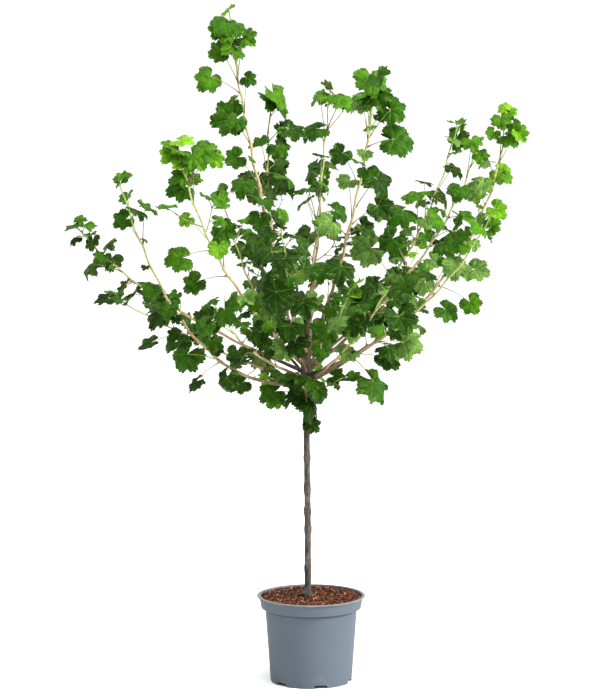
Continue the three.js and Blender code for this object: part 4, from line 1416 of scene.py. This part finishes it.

# Leaves
# Jostaberry leaves: roundish, with three to five shallow lobes, blunt teeth and sunk main
# veins. They are thin and matt, deep green in the crown's middle, yellow-green at the tips.
# Here and there a leaf is painted a pale sage green, a painted sheen of the sky's reflection.

VEIN_GAP = 52
MAIN_VEINS = tuple(VEIN_GAP * k for k in (-2, -1, 0, 1, 2))
SINUS_DEGREES = 172
GAP_ENDS = (-SINUS_DEGREES, *MAIN_VEINS, SINUS_DEGREES)
BLADE_EDGE = [
    (0, 0.645), (14, 0.62), (29, 0.47), (43, 0.565), (56, 0.585), (77, 0.45),
    (94, 0.525), (110, 0.515), (133, 0.45), (156, 0.36), (172, 0.1),
]
RINGS = (0.3, 0.56, 0.8)
TEETH_LARGE = (3, 4)
TEETH_SMALL = (2, 3)
INNER_LARGE = (1, 1, 2)
INNER_SMALL = (0, 1, 1)
INNER_UNDER = (0, 0, 1)
SMALL_WIDTH = 0.045
TOOTH_DEPTH = 0.048
TOOTH_SHAPE = [(0.15, 0.05), (0.5, 0.42), (0.85, 0.05)]
LOBE_SHOULDER = (0.27, 0.25)
LOBE_TIP = (0.4, 0.45, 0.4)
VEIN_WIDTH = (0.0085, 0.0035)
VEIN_SINK = 0.006
VEIN_SIDE_DEGREES = 0.01
QUILTING = (0.02, 0.05)
BLADE_THICKNESS = 0.0055
CUP_RANGE = (-0.3, 2.3)
FOLD_RANGE = (0.02, 0.42)
WAVE_RANGE = (0.02, 0.08)
WAVES_ROUND = (5, 4)
STRETCH_RANGE = (0.92, 1.08)
SKEW = 0.06
TIP_CURL_FROM = 0.3
TIP_CURL_RANGE = (-0.05, 0.22)
# The last green, a pale sage, is painted sheen: it stands for the sky's reflection on leaves.
GREENS = [(26, 54, 4), (38, 76, 5), (57, 101, 8), (80, 128, 12), (98, 149, 16), (76, 107, 46)]
VEIN_TONES = [(74, 110, 26), (124, 158, 48)]
UNDER_TONES = [(64, 92, 32), (93, 126, 42)]
VEIN_NUMBER = len(GREENS)
UNDER_NUMBER = VEIN_NUMBER + len(VEIN_TONES)
LEAF_ROUGHNESS = 0.44
VEIN_ROUGHNESS = 0.5
UNDER_ROUGHNESS = 0.62
LEAF_SHEEN = 0.06
LEAF_EDGE_DEGREES = 110
YOUNG_FROM = 3
# The painted sheen's green number, and on each side the share of leaves painted with it.
PAINTED_SHEEN_TONE = 5
PAINTED_SHEEN_SHARE = {"right": 0.26, "front": 0.2, "left": 0.04}
LOWEST_TONE = 0.4
TONE_RISE = 1.3
TUFT_TONE_RISE = 1.1
TONE_SPREAD = 1.6
TONE_SHIFT = {
    "left_far": -0.9, "left_low": -0.7, "left_middle": -0.4, "left_front": 0.7,
    "right_front": -0.3, "right_far": 0.7, "back_left_tall": -0.9, "front_right_tall": -0.5,
    "front_middle": -1, "front_left_low": -1.2, "front_right_low": -0.9,
    "front": -1.3, "left": -0.8, "right": -0.8,
}
DRAWN_SHARE = (0.62, 0.92)
SINGLE_SHARE = 0.9
SINGLE_TURN = 0.4
SINGLE_FACE_OUT = 48
TWIST = 36
NOD = 20
FACE_OUT = 20
BACK_FROM = 0.08
FRONT_TO = -0.06
FRONT_SHARE = 0.93
SIDES = ("leader", "left", "right", "front", "back")
BLADE_SEED = 701


def edge_at(degrees):
    """The distance from the stalk to the blade's smooth outline, as a share of its width."""
    turn = abs(degrees)
    for (before, near), (after, far) in zip(BLADE_EDGE, BLADE_EDGE[1:]):
        if turn <= after:
            share = (1 - math.cos(math.pi * (turn - before) / (after - before))) / 2
            return lerp(near, far, share)
    return BLADE_EDGE[-1][1]


def margin(teeth):
    """The margin's stations, (degrees, side, in or out), with so many blunt teeth in each gap."""
    stations = [(-SINUS_DEGREES, 0, 0)]
    for low, high in zip(GAP_ENDS, GAP_ENDS[1:]):
        first, last = low == -SINUS_DEGREES, high == SINUS_DEGREES
        count = teeth[1] if first or last else teeth[0]
        width = (high - low) / (count + 1)
        beside, shoulder = LOBE_SHOULDER[0] * width, LOBE_SHOULDER[1]
        if not first:
            stations.append((low + beside, 0, shoulder))
        for i in range(count + 1):
            valley = low + width * (i + 0.5)
            stations.append((valley, 0, -1))
            if i < count:
                stations += [(valley + place * width, 0, out) for place, out in TOOTH_SHAPE]
        if not last:
            stations.append((high - beside, 0, shoulder))
            stations += [(high, side, out) for side, out in zip((-1, 0, 1), LOBE_TIP)]
    return stations + [(SINUS_DEGREES, 0, 0)]


def inner_ring(between):
    """An inner ring's stations: three at each vein, and some in each gap."""
    stations = [(-SINUS_DEGREES, 0, 0)]
    for low, high in zip(GAP_ENDS, GAP_ENDS[1:]):
        stations += [(lerp(low, high, (i + 1) / (between + 1)), 0, 0) for i in range(between)]
        if high != SINUS_DEGREES:
            stations += [(high, side, 0) for side in (-1, 0, 1)]
    return stations + [(SINUS_DEGREES, 0, 0)]


def plain_ring(between):
    """A ring on the underside, which has one station at each vein."""
    return [station for station in inner_ring(between) if station[1] == 0]


class Blade:
    """A blade on a unit width. A place is (degrees, side of a vein, share, below, in or out)."""

    def __init__(self, teeth, between):
        self.places, self.faces, self.kinds = [(0, 0, 0, 0, 0)], [], []
        rings = [(share, inner_ring(count)) for share, count in zip(RINGS, between)]
        rings.append((1.0, margin(teeth)))
        top = [self.ring(share, stations, 0) for share, stations in rings]
        self.fan(top[0], False)
        for inner, outer in zip(top, top[1:]):
            self.zip(inner, outer, False)
        under = []
        for share, row, count in zip(RINGS, top, INNER_UNDER):
            under.append(self.ring(share, plain_ring(count), 1, row[0], row[-1]))
        self.fan(under[0], True)
        for inner, outer in zip(under, [*under[1:], top[-1]]):
            self.zip(inner, outer, True)
        self.degrees, self.side, self.share, self.below, self.out = np.array(self.places, float).T

    def ring(self, share, stations, below, first=None, last=None):
        """A row of new places, (number, degrees, side). Its two ends may be ones that are there."""
        row = []
        for i, (degrees, side, out) in enumerate(stations):
            shared = first if i == 0 else last if i == len(stations) - 1 else None
            if shared is not None:
                row.append(shared)
                continue
            row.append((len(self.places), degrees + VEIN_SIDE_DEGREES * side, side))
            self.places.append((degrees, side, share, below, out))
        return row

    def fan(self, row, below):
        """Faces from the blade's foot, which is place 0, to a ring."""
        for before, after in zip(row, row[1:]):
            self.face((0, before[0], after[0]), before, after, below)

    def zip(self, inner, outer, below):
        """Faces between two rings, which meet at the stations that both have."""
        i, j = 0, 0
        while i < len(inner) - 1 or j < len(outer) - 1:
            last_in, last_out = i == len(inner) - 1, j == len(outer) - 1
            step_in = math.inf if last_in else inner[i + 1][1]
            step_out = math.inf if last_out else outer[j + 1][1]
            a, b = inner[i], outer[j]
            if abs(step_in - step_out) < 1e-6:
                i, j = i + 1, j + 1
                self.face((a[0], b[0], outer[j][0], inner[i][0]), a, inner[i], below)
            elif step_in < step_out:
                i += 1
                self.face((a[0], b[0], inner[i][0]), a, inner[i], below)
            else:
                j += 1
                self.face((a[0], b[0], outer[j][0]), b, outer[j], below)

    def face(self, corners, before, after, below):
        """One face, of kind 0 on the skin, 1 along a vein or 2 on the underside."""
        one_side = abs(before[2]) + abs(after[2]) == 1
        vein = one_side and abs(after[1] - before[1]) < 2 * VEIN_SIDE_DEGREES
        self.faces.append(tuple(corners) if below else tuple(reversed(corners)))
        self.kinds.append(2 if below else 1 if vein else 0)


large_blade = Blade(TEETH_LARGE, INNER_LARGE)
small_blade = Blade(TEETH_SMALL, INNER_SMALL)


def bent_blade(blade, draw):
    """The blade's points on a unit width, each time cupped, folded, quilted and waved anew."""
    turn, share = np.radians(blade.degrees), blade.share
    edge = np.array([edge_at(degrees) for degrees in blade.degrees])
    reach = edge * share + TOOTH_DEPTH * blade.out
    vein = blade.side * np.array([lerp(*VEIN_WIDTH, s) for s in share]) * (share > 0)
    x = reach * np.sin(turn) + vein * np.cos(turn)
    y = reach * np.cos(turn) - vein * np.sin(turn)
    x = x * lerp(*STRETCH_RANGE, next(draw)) + SKEW * (next(draw) - 0.5) * y
    cup = lerp(*CUP_RANGE, next(draw)) * BLADE_CUP
    height = -cup * (x**2 + (y - BLADE_MIDDLE) ** 2) / BLADE_RADIUS**2
    height += lerp(*FOLD_RANGE, next(draw)) * np.abs(x)
    beside_vein = 1 - np.cos(np.pi * blade.degrees / VEIN_GAP) ** 2
    height += lerp(*QUILTING, next(draw)) * beside_vein * np.sin(math.pi * share**0.8)
    waves, phase = WAVES_ROUND[0] + WAVES_ROUND[1] * next(draw), 6.3 * next(draw)
    height += lerp(*WAVE_RANGE, next(draw)) * np.sin(waves * turn + phase) * share**3
    height -= lerp(*TIP_CURL_RANGE, next(draw)) * np.maximum(y - TIP_CURL_FROM, 0) ** 2 * 2
    sunk = (blade.side == 0) & np.isin(blade.degrees, MAIN_VEINS)
    height -= VEIN_SINK * (sunk & (share > 0) & (share < 1))
    height -= BLADE_THICKNESS * blade.below
    return np.column_stack([x, y, height])


def leaf_paint(name, tone, roughness):
    """A leaf's skin: blotches of a lighter and a deeper tone, puckered between its small veins."""
    paint = Paint(name)
    blotches = paint.clouds(paint.place(), 75, 2)
    puckers = paint.clouds(paint.place(), 210, 2)
    pores = paint.clouds(paint.place(), 900, 2)
    share = paint.between(0.5 * blotches + 0.3 * puckers + 0.2 * pores, 0.38, 0.62)
    colour = paint.mix(share, shaded(tone, 0.55), shaded(tone, 1.4))
    rough = roughness + 0.12 * pores
    relief = paint.relief(puckers + 0.15 * pores, 0.0022, 0.6)
    return paint.finish(Base_Color=colour, Roughness=rough, Normal=relief, Specular_IOR_Level=LEAF_SHEEN)


def leaf_paints():
    """The skins in the order of their numbers: the greens, the veins' and the undersides'."""
    paints = [leaf_paint(f"leaf_green_{i}", tone, LEAF_ROUGHNESS) for i, tone in enumerate(GREENS)]
    paints += [leaf_paint(f"leaf_vein_{i}", tone, VEIN_ROUGHNESS) for i, tone in enumerate(VEIN_TONES)]
    under = enumerate(UNDER_TONES)
    return paints + [leaf_paint(f"leaf_under_{i}", tone, UNDER_ROUGHNESS) for i, tone in under]


def leaf_tone(leaf, chance):
    """A green's number: deep low on a shoot, bright in its tuft, or the sage of painted sheen."""
    shoot, age = growths[leaf["shoot"]], leaf["age"]
    other_chance = 7 * chance % 1
    # Some leaves get the pale sage as painted sheen, most often on the right and in front.
    if age < 1 and other_chance < PAINTED_SHEEN_SHARE.get(side_of(shoot), 0):
        return PAINTED_SHEEN_TONE
    tone = LOWEST_TONE + TONE_RISE * min(age, 1) + TUFT_TONE_RISE * max(age - 1, 0)
    tone += TONE_SPREAD * (chance - 0.5) + TONE_SHIFT.get(shoot.name, 0)
    return int(max(0, min(PAINTED_SHEEN_TONE - 1, round(tone))))


def swung(first, second, angle):
    """Two directions that are square to each other, both turned from the first to the second."""
    cos, sin = math.cos(angle), math.sin(angle)
    return first * cos - second * sin, second * cos + first * sin


def turned_blade(leaf, twist, nod):
    """The blade's own axes, twisted about its midrib and nodding more or less than the rule says."""
    side, normal = swung(np.cross(leaf["forward"], leaf["normal"]), leaf["normal"], twist)
    forward, normal = swung(leaf["forward"], normal, nod)
    return np.vstack([side, forward, normal])


def add_leaf(heap, leaf, draw):
    """One leaf, smaller than its room and turned to face the front or, at the back, outwards."""
    blade = small_blade if leaf["width"] < SMALL_WIDTH else large_blade
    share = lerp(*DRAWN_SHARE, next(draw))
    share *= FRONT_SHARE if leaf["middle"][1] < FRONT_TO else 1
    freedom, facing = 1, FACE_OUT
    if "single" in leaf:
        share, freedom, facing = SINGLE_SHARE, SINGLE_TURN, SINGLE_FACE_OUT
    elif leaf["age"] > 1:
        share = 1
    width = leaf["width"] * share
    twist, nod = (math.radians(lerp(-most, most, next(draw))) * freedom for most in (TWIST, NOD))
    outward = unit(leaf["middle"] * (1, 1, 0))
    look = np.array([0, -1, 0]) if leaf["middle"][1] < BACK_FROM else outward
    twist += math.radians(facing) * np.cross(leaf["forward"], leaf["normal"]).dot(look)
    placed = leaf["base"] + bent_blade(blade, draw) * width @ turned_blade(leaf, twist, nod)
    tone = leaf_tone(leaf, next(draw))
    young = int(tone >= YOUNG_FROM)
    numbers = (tone, VEIN_NUMBER + young, UNDER_NUMBER + young)
    heap.add(placed, blade.faces, [numbers[kind] for kind in blade.kinds])


paints = leaf_paints()
for number, side in enumerate(SIDES):
    heap = Heap()
    draw = random_from(number + BLADE_SEED)
    for leaf in crown.leaves:
        if side_of(growths[leaf["shoot"]]) == side:
            add_leaf(heap, leaf, draw)
    leaves = heap.piece(f"{side}_leaves", paints)
    keep_corners(leaves, LEAF_EDGE_DEGREES)
    masses = [f"leaves_{shoot.name}" for shoot in SHOOTS if side_of(shoot) == side]
    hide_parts(*masses, *[f"spur_{spur.name}" for spur in SPURS if spur.name == side])
    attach(leaves, "root")

# Leaf stalks and buds
# Each leaf hangs on a long thin stalk, green with a flush of red at its foot, that clasps the
# node with a wider base. A small pointed brown bud sits above it, in its angle.

STALK_SIDES = 5
STALK_STEPS = 6
STALK_GIRTH = (0.0011, 0.00072)
STALK_SCALE = (0.62, 0.38)
FULL_LEAF = 0.07
STALK_FOOT = 0.8
STALK_FOOT_FADE = 9
STALK_ARCH = 0.07
STALK_SINK = 0.0006
STALK_TONES = [(116, 66, 48), (122, 112, 58), (126, 142, 62)]
BUD_LENGTH = 0.0055
BUD_GIRTH = 0.0013
BUD_LEAN = 0.5
BUD_ABOVE = 0.0015
BUD_OUT = 0.8
BUD_SIDES = 6
BUD_SHAPE = [(0, 0.7), (0.3, 1), (0.65, 0.75), (1, 0.08)]
BUD_TONE = (132, 88, 58)


def make_stalks():
    heap = Heap()
    for leaf in crown.leaves:
        line = lines[leaf["shoot"]]
        start = leaf["root"] if "twig" in leaf else line.grown(leaf["distance"])
        end = leaf["base"] - leaf["normal"] * STALK_SINK
        middle = (start + end) / 2 + (leaf["along"] + UP) * STALK_ARCH * leaf["stalk"]
        centres, radii = [], []
        scale = STALK_SCALE[0] + STALK_SCALE[1] * min(1, leaf["width"] / FULL_LEAF)
        for i in range(STALK_STEPS + 1):
            t = i / STALK_STEPS
            centres.append(bend(start, middle, end, t))
            foot = 1 + STALK_FOOT * math.exp(-t * STALK_FOOT_FADE)
            radii.append(scale * lerp(*STALK_GIRTH, t) * foot)
        last = len(STALK_TONES) - 1
        heap.tube(centres, radii, STALK_SIDES, [min(i, last) for i in range(STALK_STEPS + 1)])
    paints = [skin_paint(f"stalk_skin_{i}", tone) for i, tone in enumerate(STALK_TONES)]
    return heap.piece("leaf_stalks", paints)


def make_buds():
    heap = Heap()
    for leaf in crown.leaves:
        if "twig" in leaf:
            continue
        line, distance = lines[leaf["shoot"]], leaf["distance"]
        out = unit(leaf["base"] - leaf["root"])
        way = unit(leaf["along"] + BUD_LEAN * out)
        foot = line.grown(distance) + out * line.radius(distance) * BUD_OUT + leaf["along"] * BUD_ABOVE
        centres = [foot + way * BUD_LENGTH * share for share, _ in BUD_SHAPE]
        radii = [BUD_GIRTH * width for _, width in BUD_SHAPE]
        heap.tube(centres, radii, BUD_SIDES, [0] * len(BUD_SHAPE))
    return heap.piece("buds", [skin_paint("bud_scales", BUD_TONE)])


for made in (make_stalks(), make_buds()):
    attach(made, "root")

print(f"{len(rule_leaves)} leaves by the rule, {len(crown.leaves)} in all, {len(twigs)} side twigs")
